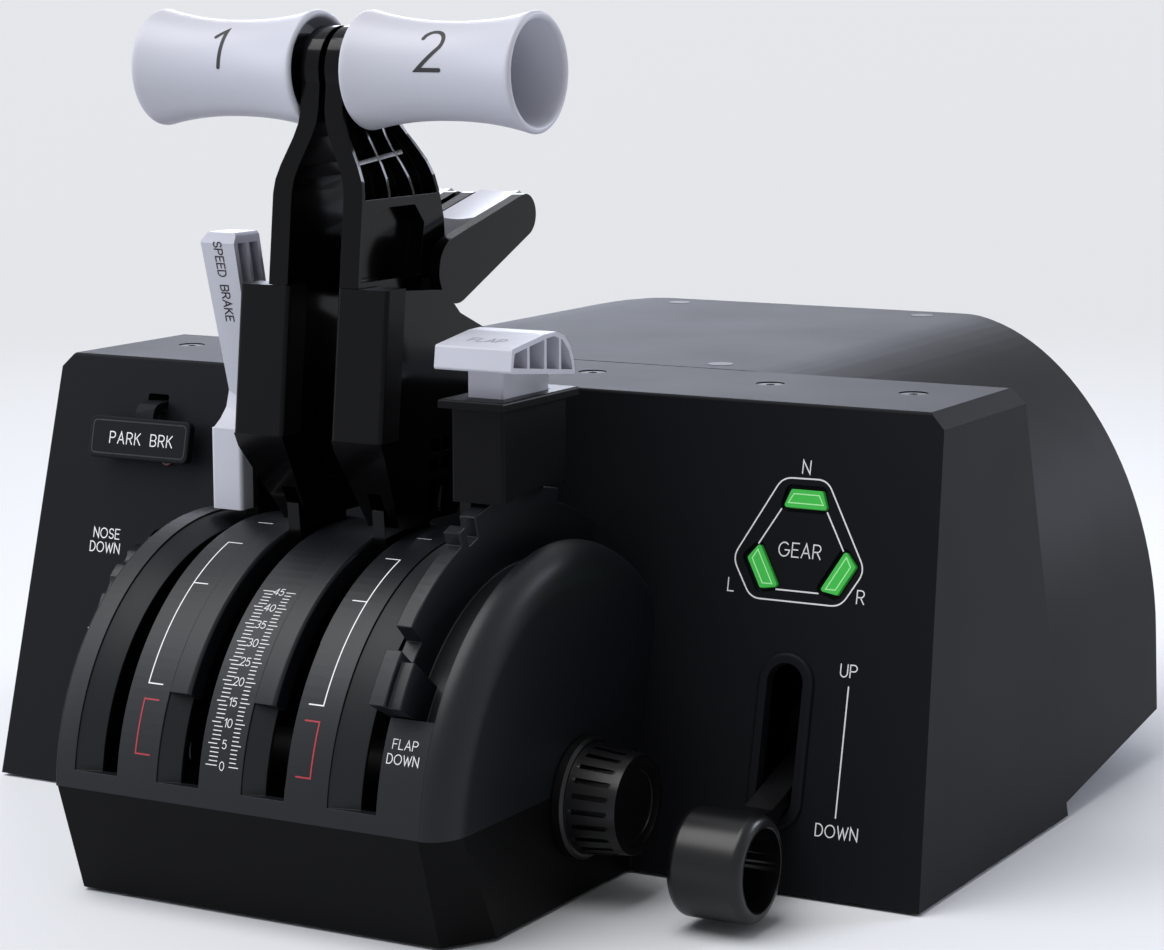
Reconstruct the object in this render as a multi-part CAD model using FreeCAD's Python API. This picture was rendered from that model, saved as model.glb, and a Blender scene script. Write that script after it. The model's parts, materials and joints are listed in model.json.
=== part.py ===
import FreeCAD, Part
import math
import os

# Desk throttle quadrant: a wedge-shaped housing with a lever pedestal in front
# of it.  Millimetres.  Design frame: X to the right, Y to the rear, Z up, the
# origin at the middle of the housing's bottom front edge.  export() moves every
# piece so that the origin lies under the middle of the whole quadrant.

os.makedirs("parts", exist_ok=True)
V = FreeCAD.Vector


def tan(degrees):
    return math.tan(math.radians(degrees))


def cos(degrees):
    return math.cos(math.radians(degrees))


def sin(degrees):
    return math.sin(math.radians(degrees))


# ---------------------------------------------------------------- sizes ----
# Housing
housing_width = 320.0        # across the bottom
housing_height = 133.8
housing_depth = 115.0        # along the bottom
front_lean = 12.5            # front plate leans back, degrees
rear_lean = 10.9             # rear face leans forward
side_taper = 2.96            # sides lean in
housing_corner = 4.5         # chamfer along the two top side edges
housing_wall = 3.0
plate_thickness = 3.0        # base plate and pedestal floor
edge_round = 1.2             # moulded outside edges

# Rear hump
hump_rear = 272.0            # rear face
hump_round = 96.0            # radius of its shoulders
hump_corner_x = 62.0         # half width of the straight rear edge
hump_corner_y = 198.0        # where the cut-back rear corners start
hump_corner_round = 20.0
hump_floor_rise = 7.8        # underside rises to the rear
hump_floor_gap = 4.3         # its height above the bench at the housing

# Pedestal
axle_y = -28.1               # lever axle
axle_z = 28.1
arc_radius = 71.1            # outside of the slotted cover
arc_wall = 5.0
pedestal_left = -64.8
pedestal_right = 70.0
cover_left = -57.0           # arc cover between the two side covers
cover_right = 61.8
pedestal_seam = 31.6         # cover above, base below
base_front = -88.8           # base along the bench
base_corner = 14.8           # its front corners, along Y
cover_fall = 11.0            # rounding of the side covers, along the radius

# Lever slots in the arc cover: left edge, right edge, width of the sloping bank
slot_bottom = 7.0            # degrees above straight ahead
slot_top = 122.0
slots = {
    "speed_brake": (-50.8, -36.3, 6.6),
    "thrust_1": (-22.9, -8.9, 5.4),
    "thrust_2": (5.1, 19.1, 5.4),
    "flap": (32.8, 48.2, 8.2),
}
# Lever blades that run in the slots: left and right faces
blades = {
    "speed_brake": (-42.6, -38.2),
    "thrust_1": (-15.3, -11.4),
    "thrust_2": (13.2, 17.1),
    "flap": (42.7, 46.4),
}
bank_depth = 4.0
ledge_top = 42.7             # short bank on the right of the second thrust slot
guide_width = 7.0            # filler strips beside the thrust slots
guide_start = 27.0
guide_proud = 0.5
seat_gap = 0.15              # loose seat between neighbouring mouldings
seat_fit = 0.02              # round seats that hold a pin

# Flap gate
gate_left = 46.8
gate_right = 51.8
gate_start = 28.3
gate_rim = arc_radius + 9.9
gate_high_rim = arc_radius + 13.9
gate_high_start = 66.5
gate_high_end = 104.0
gate_root = arc_radius - 9.1
gate_floor = arc_radius - 6.1
gate_notches = ((39.5, 44.5, arc_radius + 2.9), (69.0, 72.5, arc_radius + 7.9))
gate_foot = (46.8, 55.5, 38.0, arc_radius + 7.9)

# Lever axle and blades
axle_r = 5.0
running = 0.05               # radial running clearance
hub_r = 11.0
hub_side_gap = 0.3
blade_deep = 24.0            # along the slot
blade_lean = 3.6             # thrust blades from upright, top towards the front

# Thrust levers (lever 2; lever 1 mirrors it about the line between the knobs)
lever_mid = -1.9             # X of the line between the two thrust levers
knob_y = -32.0
knob_z = 227.6
knob_r = 16.8
knob_waist_r = 13.5
knob_inner = 8.0             # from lever_mid to the knob's inner end
knob_outer = 62.1            # and to its outer end; both ends are open
knob_wall = 2.2
knob_web_in = 7.0            # cross wall inside, from the inner end
knob_web = 2.4
head_r = 12.2
boss_r = 10.0                # carries the knob's cross wall
arm_low = (8.6, 14.8)        # arm from lever_mid, low down
arm_high = (1.0, 6.9)        # and beside the knob
arm_skin = 1.4               # web left behind the ribs
rib = 1.2
arm_rim = 1.5                # rim left round the pockets
bend_low = 194.0             # the arm bends in between these heights
bend_high = 217.0
body_in = 8.2                # lower body, from lever_mid
body_out = 24.4
body_top = 168.6
front_slope = 0.112          # the levers' front line leans back going up
shroud_bottom = 127.0
shroud_front = -54.6         # front line at the shroud's bottom
shroud_deep = 9.0
body_lift = 2.4              # lever bodies above the arc cover
body_bottom = axle_z + arc_radius + body_lift
foot_side = 3.2              # body beside the blade at its foot
foot_front = -42.0
spine_front = -40.6          # arm's lower part, set into the body's inner side
spine_rear = -8.0
link_front = -40.0           # joins the arm to its blade inside the body
link_rear = -20.0
link_low = body_bottom + 5.0
link_high = body_bottom + 12.0

# Reverse levers
reverse_y = -10.0
reverse_z = 171.0
reverse_r = 9.5
reverse_tip_y = 28.5
reverse_tip_z = 184.0
reverse_tip_r = 6.2
reverse_half = 10.4          # half width across the two cheeks
reverse_cheek = 3.6
reverse_pin_r = 2.5
reverse_pin_skin = 1.4       # cheek left over the pin's ends
pad_gap = 0.3

# Speed brake lever
brake_left = -50.4
brake_width = 11.7
brake_lean = 14.0
brake_block_top = 124.0
brake_block_front = -32.5
brake_blade_top = 115.0
brake_block_rear = -1.0
brake_block_lift = 1.3       # its underside above the arc cover

# Flap lever
column_left = 41.4
column_right = 58.0
column_front = -48.6
column_rear = -14.0
column_top = 138.0
flange_thick = 2.4
flange_over = 3.4
stem_left = 44.4
stem_right = 55.6
stem_front = -44.7
stem_rear = -19.5
stem_gap = 0.3
handle_left = 38.0
handle_right = 62.1
handle_wall = 1.4

# Gear lever
gear_x = 113.5
gear_slot_width = 17.2
gear_slot_low = 16.5
gear_slot_high = 65.3
gear_rim = 2.4
gear_rim_proud = 1.4
gear_pivot_y = 38.0
gear_pivot_z = 40.9
gear_pin_r = 3.0
gear_arm_width = 9.0
gear_wheel_y = -34.0
gear_wheel_z = 16.6
gear_wheel_r = 15.0
gear_wheel_wall = 3.6
gear_wheel_length = 22.2
gear_wheel_shift = 4.3       # wheel's middle to the right of the arm's
gear_wheel_round = 3.0

# Gear lamps: centres on the plate, turned about each centre
lamp_long = 13.6             # long side, towards the middle of the three
lamp_taper = 2.0             # the short side is shorter at each end
lamp_wide = 5.2
lamp_rim = 1.3               # recess round each lens
lamp_recess = 1.6
lamp_flange = 1.2
lamps = ((113.7, 107.6, 0.0), (101.9, 87.5, 60.0), (126.2, 87.5, -60.0))

# Trim wheel
trim_x = -107.0
trim_y = 17.7
trim_z = 47.0
trim_r = 32.0
trim_width = 7.0
trim_gap = 1.0
trim_lobes = 18
trim_axle_r = 3.0

# Park brake tab
park_left = -134.4
park_right = -95.6
park_high = housing_height - 19.2
park_low = park_high - 13.0
park_off = 4.0               # tab's rear face in front of the plate
park_thick = 2.6
park_stem_left = -117.3
park_stem_right = -110.3
park_lamp_x = -107.6
park_lamp_z = park_low + 1.6
park_lamp_r = 2.5
park_pin_r = 1.2
park_eye_r = 2.2
park_pin_behind = 5.4
park_pin_z = park_high + 2.6
park_strap = 2.4             # thickness of the hooked strap
park_hook_z = park_high + 6.0  # top of the hook

# Tension knob, on the axle
tension_base_r = 17.2
tension_nose_r = 14.0
tension_length = 17.8
tension_ribs = 22
tension_gap = 0.4

# Small parts
foot_stand = 1.0             # rubber feet below the mouldings
screw_head_r = 4.3
screw_seat = 2.0             # head seat below the face
top_screws = (-128.5, -82.6, -22.4, 22.4, 82.6, 128.5)
top_screw_y = 65.0
plug_x = 48.5
plug_from_seam = 10.8        # front plugs behind the seam across the top
plug_from_rear = 13.0
plug_r = 4.0
socket_half = 7.0            # data socket in the rear face
socket_low = 49.0
socket_high = 62.0
board_low = 16.0             # circuit board above the bench
board_thick = 1.6

# ------------------------------------------------------------- helpers -----


def face_of(points):
    return Part.Face(Part.makePolygon(points + [points[0]]))


def prism_x(yz, x0, x1):
    """Outline in (y, z), from x0 to x1."""
    return face_of([V(x0, y, z) for y, z in yz]).extrude(V(x1 - x0, 0, 0))


def prism_y(xz, y0, y1):
    """Outline in (x, z), from y0 to y1."""
    return face_of([V(x, y0, z) for x, z in xz]).extrude(V(0, y1 - y0, 0))


def prism_z(xy, z0, z1):
    """Outline in (x, y), from z0 to z1."""
    return face_of([V(x, y, z0) for x, y in xy]).extrude(V(0, 0, z1 - z0))


def box(x0, x1, y0, y1, z0, z1):
    return Part.makeBox(x1 - x0, y1 - y0, z1 - z0, V(x0, y0, z0))


def rod_x(y, z, r, x0, x1):
    return Part.makeCylinder(r, x1 - x0, V(x0, y, z), V(1, 0, 0))


def rod_z(x, y, r, z0, z1):
    return Part.makeCylinder(r, z1 - z0, V(x, y, z0), V(0, 0, 1))


def fuse(shapes):
    return shapes[0].multiFuse(shapes[1:]).removeSplitter()


def slab_of_circles(y0, z0, r0, y1, z1, r1, x0, x1):
    """Two rounds joined by their outer tangents, from x0 to x1."""
    length = math.hypot(y1 - y0, z1 - z0)
    heading = math.atan2(z1 - z0, y1 - y0)
    spread = math.acos((r0 - r1) / length)
    corners = []
    for y, z, r, side in ((y0, z0, r0, 1), (y1, z1, r1, 1), (y1, z1, r1, -1), (y0, z0, r0, -1)):
        a = heading + side * spread
        corners.append((y + r * math.cos(a), z + r * math.sin(a)))
    return fuse([prism_x(corners, x0, x1), rod_x(y0, z0, r0, x0, x1), rod_x(y1, z1, r1, x0, x1)])


def turned(xr, a0, a1):
    """Section in (x, radius) swept about the lever axle from angle a0 to a1.

    Angles rise from straight ahead (0) through straight up (90) to the rear.
    """
    face = face_of([V(x, axle_y - r, axle_z) for x, r in xr])
    swept = face.revolve(V(0, axle_y, axle_z), V(-1, 0, 0), a1 - a0)
    swept.rotate(V(0, axle_y, axle_z), V(-1, 0, 0), a0)
    return swept


def ring_part(r0, r1, a0, a1, x0, x1):
    return turned([(x0, r0), (x1, r0), (x1, r1), (x0, r1)], a0, a1)


def plate_y(z):
    """Y of the front plate's outside at height z."""
    return z * tan(front_lean)


def behind_plate(depth=0.0):
    """Everything behind the plane that lies depth behind the front plate."""
    shift = depth / cos(front_lean)
    low, high = -20.0, 300.0
    outline = [(plate_y(low) + shift, low), (400, low), (400, high), (plate_y(high) + shift, high)]
    return prism_x(outline, -200, 200)


def on_plate(shape):
    """Place a shape drawn flat (x, up the plate, +Z out of it) on the plate."""
    placed = shape.copy()
    placed.rotate(V(0, 0, 0), V(1, 0, 0), 90 - front_lean)
    return placed


def up_plate(z):
    """Distance up the plate of a point at height z."""
    return z / cos(front_lean)


def mirrored(shape):
    """Lever 1's copy of a lever 2 shape."""
    return shape.mirror(V(lever_mid, 0, 0), V(1, 0, 0))


def mirror_x(x):
    return 2 * lever_mid - x


def rounded(solid, radius, wanted):
    """Fillet the edges for which wanted(edge) holds."""
    edges = [edge for edge in solid.Edges if wanted(edge)]
    return solid.makeFillet(radius, edges)


def parallel_to(edge, axis):
    if len(edge.Vertexes) != 2:
        return False
    run = edge.Vertexes[1].Point.sub(edge.Vertexes[0].Point)
    return run.Length > 0.5 and abs(run.normalize().dot(axis)) > 0.999


def export(shape, name):
    middle_y = (hump_rear + axle_y - arc_radius) / 2
    moved = shape.copy()
    moved.translate(V(0, -middle_y, foot_stand))
    moved.exportStep("parts/" + name + ".step")


# ------------------------------------------------------------- housing -----


def front_box(inset):
    """The wedge-shaped front housing, drawn in by inset on every open side."""
    low = -10.0 if inset else 0.0
    front = inset / cos(front_lean)
    rear = housing_depth - inset / cos(rear_lean)
    side = housing_width / 2 - inset / cos(side_taper)
    top = housing_height - inset
    side_view = [
        (plate_y(low) + front, low),
        (rear - low * tan(rear_lean), low),
        (rear - top * tan(rear_lean), top),
        (plate_y(top) + front, top),
    ]
    knee = top - housing_corner
    front_view = [
        (-side + low * tan(side_taper), low),
        (side - low * tan(side_taper), low),
        (side - knee * tan(side_taper), knee),
        (side - knee * tan(side_taper) - housing_corner, top),
        (-side + knee * tan(side_taper) + housing_corner, top),
        (-side + knee * tan(side_taper), knee),
    ]
    body = prism_x(side_view, -side - 1, side + 1)
    return body.common(prism_y(front_view, -10, housing_depth + 10))


def hump(inset):
    """The rear hump: arched section, cut-back rear corners, rising underside."""
    side = housing_width / 2 - inset / cos(side_taper)
    top = housing_height - inset
    radius = hump_round - inset
    centre_z = housing_height - hump_round
    low = -10.0
    tangent_z = centre_z + radius * sin(side_taper)
    tangent_x = side - tangent_z * tan(side_taper)
    flat = tangent_x - radius * cos(side_taper)
    tangent = V(tangent_x, 0, tangent_z)
    crown = V(flat, 0, top)
    middle = V(flat + radius * cos(45), 0, centre_z + radius * sin(45))
    foot = V(side - low * tan(side_taper), 0, low)

    def flip(point):
        return V(-point.x, point.y, point.z)

    edges = [
        Part.makeLine(flip(foot), foot),
        Part.makeLine(foot, tangent),
        Part.Arc(tangent, middle, crown).toShape(),
        Part.makeLine(crown, flip(crown)),
        Part.Arc(flip(crown), flip(middle), flip(tangent)).toShape(),
        Part.makeLine(flip(tangent), flip(foot)),
    ]
    start = 60.0
    body = Part.Face(Part.Wire(edges)).extrude(V(0, hump_rear, 0))
    body.translate(V(0, start, 0))
    far = housing_width / 2 + 10.0
    rear = hump_rear - inset
    corner = hump_corner_y - 7.5 - inset / cos(37)
    plan = [
        (-far, start), (far, start), (far, corner), (hump_corner_x, rear), (-hump_corner_x, rear), (-far, corner),
    ]
    outline = rounded(
        prism_z(plan, -20, housing_height + 60), hump_corner_round,
        lambda e: parallel_to(e, V(0, 0, 1)) and abs(e.Vertexes[0].Point.y - rear) < 0.1,
    )
    body = body.common(outline)
    open_down = 20.0 if inset else 0.0
    floor_z = hump_floor_gap + inset / cos(hump_floor_rise) - open_down
    under = prism_x(
        [(0, -60), (400, -60), (400, floor_z + (400 - housing_depth) * tan(hump_floor_rise)),
         (0, floor_z - housing_depth * tan(hump_floor_rise))],
        -far, far,
    )
    seam = housing_depth - (30.0 if inset else 0.0)
    ahead = prism_x(
        [(0, -60), (seam + 60 * tan(rear_lean), -60), (seam - 200 * tan(rear_lean), 200), (0, 200)],
        -far, far,
    )
    return body.cut([under, ahead])


def seam_y():
    """Y of the seam between the two housings, on the top."""
    return housing_depth - housing_height * tan(rear_lean)


def plug_places():
    front, rear = seam_y() + plug_from_seam, hump_rear - plug_from_rear
    return [(-plug_x, front), (plug_x, front), (-plug_x, rear), (plug_x, rear)]


def stadium(width, low, high, z0, z1):
    """Upright slot outline on the plate, ends rounded, as a solid z0 to z1."""
    r = width / 2
    return fuse([
        Part.makeBox(width, high - low - width, z1 - z0, V(-r, low + r, z0)),
        Part.makeCylinder(r, z1 - z0, V(0, low + r, z0)),
        Part.makeCylinder(r, z1 - z0, V(0, high - r, z0)),
    ])


def lamp_shape(grow, z0, z1):
    """Lamp outline, its long side towards -Y, as a solid z0 to z1."""
    half, wide = lamp_long / 2 + grow, lamp_wide / 2 + grow
    outline = [(-half, -wide), (half, -wide), (half - lamp_taper, wide), (-half + lamp_taper, wide)]
    return rounded(prism_z(outline, z0, z1), 0.7 + max(grow, 0), lambda e: parallel_to(e, V(0, 0, 1)))


def each_lamp(grow, z0, z1):
    """The outline at each lamp's place on the plate."""
    made = []
    for x, z, turn in lamps:
        one = lamp_shape(grow, z0, z1)
        one.rotate(V(0, 0, 0), V(0, 0, 1), 2 * turn)
        one.translate(V(x, up_plate(z), 0))
        made.append(on_plate(one))
    return made


def gear_opening(grow, z0, z1):
    low = up_plate(gear_slot_low) + gear_rim - grow
    high = up_plate(gear_slot_high) - gear_rim + grow
    cut = stadium(gear_slot_width - 2 * gear_rim + 2 * grow, low, high, z0, z1)
    cut.translate(V(gear_x, 0, 0))
    return on_plate(cut)


def trim_opening():
    half = trim_width / 2 + trim_gap
    reach = math.sqrt(trim_r ** 2 - (trim_y - plate_y(trim_z)) ** 2) + 2 * trim_gap + 2.0
    cut = Part.makeBox(2 * half, 2 * reach, 12, V(-half, up_plate(trim_z) - reach, -8))
    cut = rounded(cut, half - 0.5, lambda e: parallel_to(e, V(0, 0, 1)))
    cut.translate(V(trim_x, 0, 0))
    return on_plate(cut)


def park_opening():
    """Window that the hooked strap passes through."""
    low, high = up_plate(park_hook_z - park_strap - 1.6), up_plate(park_hook_z + 2.2)
    left, right = park_stem_left - 0.5, park_stem_right + 0.5
    cut = Part.makeBox(right - left, high - low, 12, V(left, low, -8))
    return on_plate(rounded(cut, 0.8, lambda e: parallel_to(e, V(0, 0, 1))))


def screw_recess(x, y, top):
    """Counterbore and through hole for a flat-headed hexagon screw."""
    return rod_z(x, y, screw_head_r, top - screw_seat, top + 1).fuse(rod_z(x, y, 1.6, top - 5, top))


def front_housing():
    shell = front_box(0)
    top_z = housing_height - 1.0
    shell = rounded(shell, edge_round, lambda e: parallel_to(e, V(1, 0, 0)) and e.BoundBox.ZMin > top_z)
    shell = shell.cut(front_box(housing_wall))
    rear_window = hump(housing_wall + 12).common(box(-200, 200, 60, 160, 12, 200))
    cuts = [rear_window, gear_opening(0.2, -8, 8), trim_opening(), park_opening()]
    cuts += each_lamp(lamp_rim, -lamp_recess, 5)
    cuts += each_lamp(seat_gap, -8, 5)
    cuts += [screw_recess(x, top_screw_y, housing_height) for x in top_screws]
    lamp_hole = Part.makeCylinder(park_lamp_r + 0.1, 12, V(park_lamp_x, up_plate(park_lamp_z), -8))
    cuts.append(on_plate(lamp_hole))
    for x in (pedestal_left + 30, pedestal_right - 30):
        cuts.append(on_plate(Part.makeBox(16, 12, 12, V(x - 8, up_plate(20), -8))))
    return shell.cut(cuts)


def rear_housing():
    shell = hump(0)
    shell = shell.cut(hump(housing_wall))
    for x, y in plug_places():
        shell = shell.cut(rod_z(x, y, plug_r + seat_gap, housing_height - 1.2, housing_height + 1))
    socket_hole = box(-socket_half, socket_half, hump_rear - 8, hump_rear + 5, socket_low, socket_high)
    return shell.cut(socket_hole)


def rear_floor():
    """Sloping panel that closes the hump's underside, inside its walls."""
    inner = hump(housing_wall)
    rise = tan(hump_floor_rise)
    low = hump_floor_gap + 0.4
    strip = prism_x(
        [(housing_depth + 0.4, low), (hump_rear, low + (hump_rear - housing_depth) * rise),
         (hump_rear, low + plate_thickness + (hump_rear - housing_depth) * rise),
         (housing_depth + 0.4, low + plate_thickness)],
        -170, 170,
    )
    return inner.common(strip)


def base_plate():
    inner = front_box(housing_wall)
    slab = box(-170, 170, 0, housing_depth, 0, plate_thickness)
    return inner.common(slab)


def hex_screw(x, y, top):
    """Flat-headed screw with a hexagon socket, its head just under the face."""
    head = rod_z(x, y, screw_head_r - seat_gap, top - screw_seat, top - 0.3)
    shank = rod_z(x, y, 1.5, top - 9.0, top - screw_seat + 0.1)
    hexagon = [(x + 1.5 * cos(60 * k), y + 1.5 * sin(60 * k)) for k in range(6)]
    return head.fuse(shank).cut(prism_z(hexagon, top - 1.6, top + 1))


def housing_screws():
    return Part.makeCompound([hex_screw(x, top_screw_y, housing_height) for x in top_screws])


def top_plugs():
    return Part.makeCompound(
        [rod_z(x, y, plug_r, housing_height - 1.2, housing_height + 0.1) for x, y in plug_places()]
    )


def usb_socket():
    """Square data socket, flush with the hump's rear face."""
    shell = box(-socket_half, socket_half, hump_rear - 16, hump_rear - 0.6, socket_low, socket_high)
    mouth = box(-4.6, 4.6, hump_rear - 11, hump_rear + 1, socket_low + 2.0, socket_high - 2.0)
    tongue = box(-2.8, 2.8, hump_rear - 12, hump_rear - 3, socket_high - 4.6, socket_high - 3.0)
    return shell.cut(mouth).fuse(tongue)


def rubber_feet():
    places = ((-138, 18), (138, 18), (-138, 97), (138, 97))
    pads = [rod_z(x, y, 9.0, -foot_stand, 0) for x, y in places]
    pads += [rod_z(x, -62.0, 9.0, -foot_stand, 0) for x in (pedestal_left + 20, pedestal_right - 20)]
    return Part.makeCompound(pads)


def main_board():
    """Circuit board on four posts that stand on the base plate."""
    top = board_low + board_thick
    board = box(-50, 50, 50, 100, board_low, top)
    posts = [rod_z(x, y, 3.0, plate_thickness, board_low) for x in (-44, 44) for y in (56, 94)]
    chips = [box(-16, 2, 62, 78, top, top + 1.6), box(14, 30, 84, 92, top, top + 3.4), box(14, 34, 56, 62, top, top + 6.0)]
    return fuse([board] + posts + chips)


# ---------------------------------------------------- plate-side fittings --


def gear_bezel():
    """Raised, rounded rim round the gear slot."""
    r = gear_slot_width / 2
    outer = stadium(gear_slot_width, up_plate(gear_slot_low), up_plate(gear_slot_high), 0, gear_rim_proud)
    outer = rounded(outer, 1.1, lambda e: e.BoundBox.ZMin > gear_rim_proud - 0.01)
    collar = stadium(
        gear_slot_width - 2 * gear_rim + 0.2, up_plate(gear_slot_low) + gear_rim - 0.1,
        up_plate(gear_slot_high) - gear_rim + 0.1, -housing_wall, 0.2,
    )
    rim = outer.fuse(collar)
    rim.translate(V(gear_x, 0, 0))
    return on_plate(rim).cut(gear_opening(-0.7, -10, 10))


def gear_lamps():
    """Three lenses, each held by a flange behind the plate."""
    lenses = each_lamp(0, -housing_wall, -0.4)
    flanges = each_lamp(1.0, -housing_wall - lamp_flange, -housing_wall)
    return Part.makeCompound([lens.fuse(flange) for lens, flange in zip(lenses, flanges)])


def lamp_board():
    """Circuit board behind the plate that carries the three gear lamps."""
    x = lamps[0][0]
    low, high = up_plate(lamps[1][1] - 8.0), up_plate(lamps[0][1] + 6.0)
    rear = -housing_wall - lamp_flange - 1.6
    board = Part.makeBox(42, high - low, 1.6, V(x - 21, low, rear))
    posts = [Part.makeCylinder(2.0, lamp_flange, V(x + dx, high - 4, rear + 1.6)) for dx in (-17, 17)]
    return on_plate(fuse([board] + posts))


def gear_bracket():
    """Two ears on a foot that stands on the base plate."""
    half = gear_arm_width / 2 + 0.6
    ears = []
    for side in (-1, 1):
        near, far = sorted((gear_x + side * half, gear_x + side * (half + 2.5)))
        ear = prism_x(
            [(gear_pivot_y - 6, plate_thickness), (gear_pivot_y + 14, plate_thickness),
             (gear_pivot_y + 7, gear_pivot_z), (gear_pivot_y - 6, gear_pivot_z)],
            near, far,
        )
        ears.append(ear.fuse(rod_x(gear_pivot_y, gear_pivot_z, 7.0, near, far)))
    foot = box(gear_x - half - 2.5, gear_x + half + 2.5, gear_pivot_y - 6, gear_pivot_y + 14,
               plate_thickness, plate_thickness + 2.5)
    bracket = fuse(ears + [foot])
    bracket = bracket.cut(rod_x(gear_pivot_y, gear_pivot_z, gear_pin_r + seat_fit, gear_x - 20, gear_x + 20))
    return bracket


def gear_pin():
    reach = gear_arm_width / 2 + 3.6
    return rod_x(gear_pivot_y, gear_pivot_z, gear_pin_r, gear_x - reach, gear_x + reach)


def gear_lever():
    """Arm from the pivot, out through the slot, with a gusset at the wheel."""
    half = gear_arm_width / 2
    wy, wz = gear_wheel_y, gear_wheel_z
    py, pz = gear_pivot_y, gear_pivot_z
    side_view = [
        (wy, wz + 14.8), (wy + 9, wz + 12.0), (wy + 19, wz + 8.8), (wy + 29, wz + 8.4), (wy + 37.4, wz + 11.0),
        (py - 9.2, pz - 5.1), (py, pz), (py - 2, pz - 7.6), (wy + 36, wz + 6.0), (wy + 9, wz - 8.0), (wy, wz),
    ]
    plate = prism_x(side_view, gear_x - half, gear_x + half)
    eye = rod_x(py, pz, 8.0, gear_x - half, gear_x + half)
    arm = fuse([plate, eye]).cut(rod_x(py, pz, gear_pin_r + running, gear_x - 20, gear_x + 20))
    return arm.cut(rod_x(wy, wz, gear_wheel_r, gear_x - 20, gear_x + 20))


def gear_wheel():
    """Short open tube with rounded rims, lying across the arm's end."""
    x0 = gear_x + gear_wheel_shift - gear_wheel_length / 2
    x1 = x0 + gear_wheel_length
    tube = rod_x(gear_wheel_y, gear_wheel_z, gear_wheel_r, x0, x1)
    tube = tube.makeFillet(gear_wheel_round, tube.Edges[:1] + tube.Edges[2:3])
    inner = gear_wheel_r - gear_wheel_wall
    return tube.cut(rod_x(gear_wheel_y, gear_wheel_z, inner, x0 + 3.0, x1 + 1))


def trim_wheel():
    """Thumb wheel with a scalloped rim and a hub."""
    half = trim_width / 2
    disc = rod_x(trim_y, trim_z, trim_r, trim_x - half, trim_x + half)
    notches = []
    for k in range(trim_lobes):
        a = 360.0 / trim_lobes * k
        reach = trim_r + 2.6
        notches.append(rod_x(trim_y + reach * cos(a), trim_z + reach * sin(a), 4.2, trim_x - 6, trim_x + 6))
    disc = disc.cut(notches)
    for side in (-1, 1):
        near, far = sorted((trim_x + side * 1.6, trim_x + side * (half + 1)))
        ring = rod_x(trim_y, trim_z, trim_r - 6, near, far).cut(rod_x(trim_y, trim_z, 7, near, far))
        disc = disc.cut(ring)
    return disc.cut(rod_x(trim_y, trim_z, trim_axle_r + running, trim_x - 9, trim_x + 9))


def trim_axle():
    reach = trim_width / 2 + trim_gap + 3.0
    return rod_x(trim_y, trim_z, trim_axle_r, trim_x - reach, trim_x + reach)


def trim_bracket():
    half = trim_width / 2 + trim_gap
    arms = []
    for side in (-1, 1):
        near, far = sorted((trim_x + side * half, trim_x + side * (half + 2.6)))
        arm = prism_x(
            [(trim_y - 5, plate_thickness), (trim_y + 30, plate_thickness), (trim_y + 30, plate_thickness + 4),
             (trim_y + 5, trim_z), (trim_y - 5, trim_z)],
            near, far,
        )
        arms.append(arm.fuse(rod_x(trim_y, trim_z, 5.0, near, far)))
    foot = box(trim_x - half - 2.6, trim_x + half + 2.6, trim_y - 5, trim_y + 30,
               plate_thickness, plate_thickness + 2.5)
    bracket = fuse(arms + [foot])
    bracket = bracket.cut(rod_x(trim_y, trim_z, trim_axle_r + seat_fit, trim_x - 12, trim_x + 12))
    swing = rod_x(trim_y, trim_z, trim_r + 1.5, trim_x - half, trim_x + half)
    return bracket.cut(swing).common(behind_plate(housing_wall + 0.3))


def park_pin_y():
    return plate_y(park_pin_z) + park_pin_behind


def park_brake_lever():
    """Label tab on a hooked strap that passes through the plate."""
    low, high = up_plate(park_low), up_plate(park_high)
    tab = Part.makeBox(park_right - park_left, high - low, park_thick, V(park_left, low, park_off))
    tab = rounded(tab, 2.2, lambda e: parallel_to(e, V(0, 0, 1)))
    tab = on_plate(rounded(tab, 0.6, lambda e: e.BoundBox.ZMin > park_off + park_thick - 0.01))
    front = plate_y(park_high) - (park_off + park_thick) / cos(front_lean)
    top, pin_y = park_hook_z, park_pin_y()
    strap = prism_x(
        [(front + 0.3, park_high - 1.0), (front + 0.6, top - 3.2), (front + 1.5, top - 1.5), (front + 3.0, top - 0.4),
         (front + 5.0, top), (pin_y, top), (pin_y, top - park_strap), (front + 5.2, top - park_strap),
         (front + 3.8, top - park_strap - 0.7), (front + 3.0, top - park_strap - 2.0), (front + 2.7, park_high - 1.0)],
        park_stem_left, park_stem_right,
    )
    eye = rod_x(pin_y, park_pin_z, park_eye_r, park_stem_left, park_stem_right)
    lever = fuse([tab, strap, eye])
    return lever.cut(rod_x(pin_y, park_pin_z, park_pin_r + running, park_stem_left - 5, park_stem_right + 5))


def park_brake_bracket():
    """Two ears that hang from the housing's top wall, behind the plate."""
    z, y = park_pin_z, park_pin_y()
    top = housing_height - housing_wall
    ears = []
    for near, far in ((park_stem_left - 2.6, park_stem_left - 0.4), (park_stem_right + 0.4, park_stem_right + 2.6)):
        ears.append(box(near, far, y - 4, y + 6, z - 3.4, top))
    cap = box(park_stem_left - 2.6, park_stem_right + 2.6, y - 4, y + 6, top - 2.4, top)
    bracket = fuse(ears + [cap])
    bracket = bracket.cut(rod_x(y, z, park_pin_r + seat_fit, park_stem_left - 5, park_stem_right + 5))
    return bracket.common(behind_plate(housing_wall + 0.2))


def park_brake_pin():
    return rod_x(park_pin_y(), park_pin_z, park_pin_r, park_stem_left - 2.6, park_stem_right + 2.6)


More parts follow.
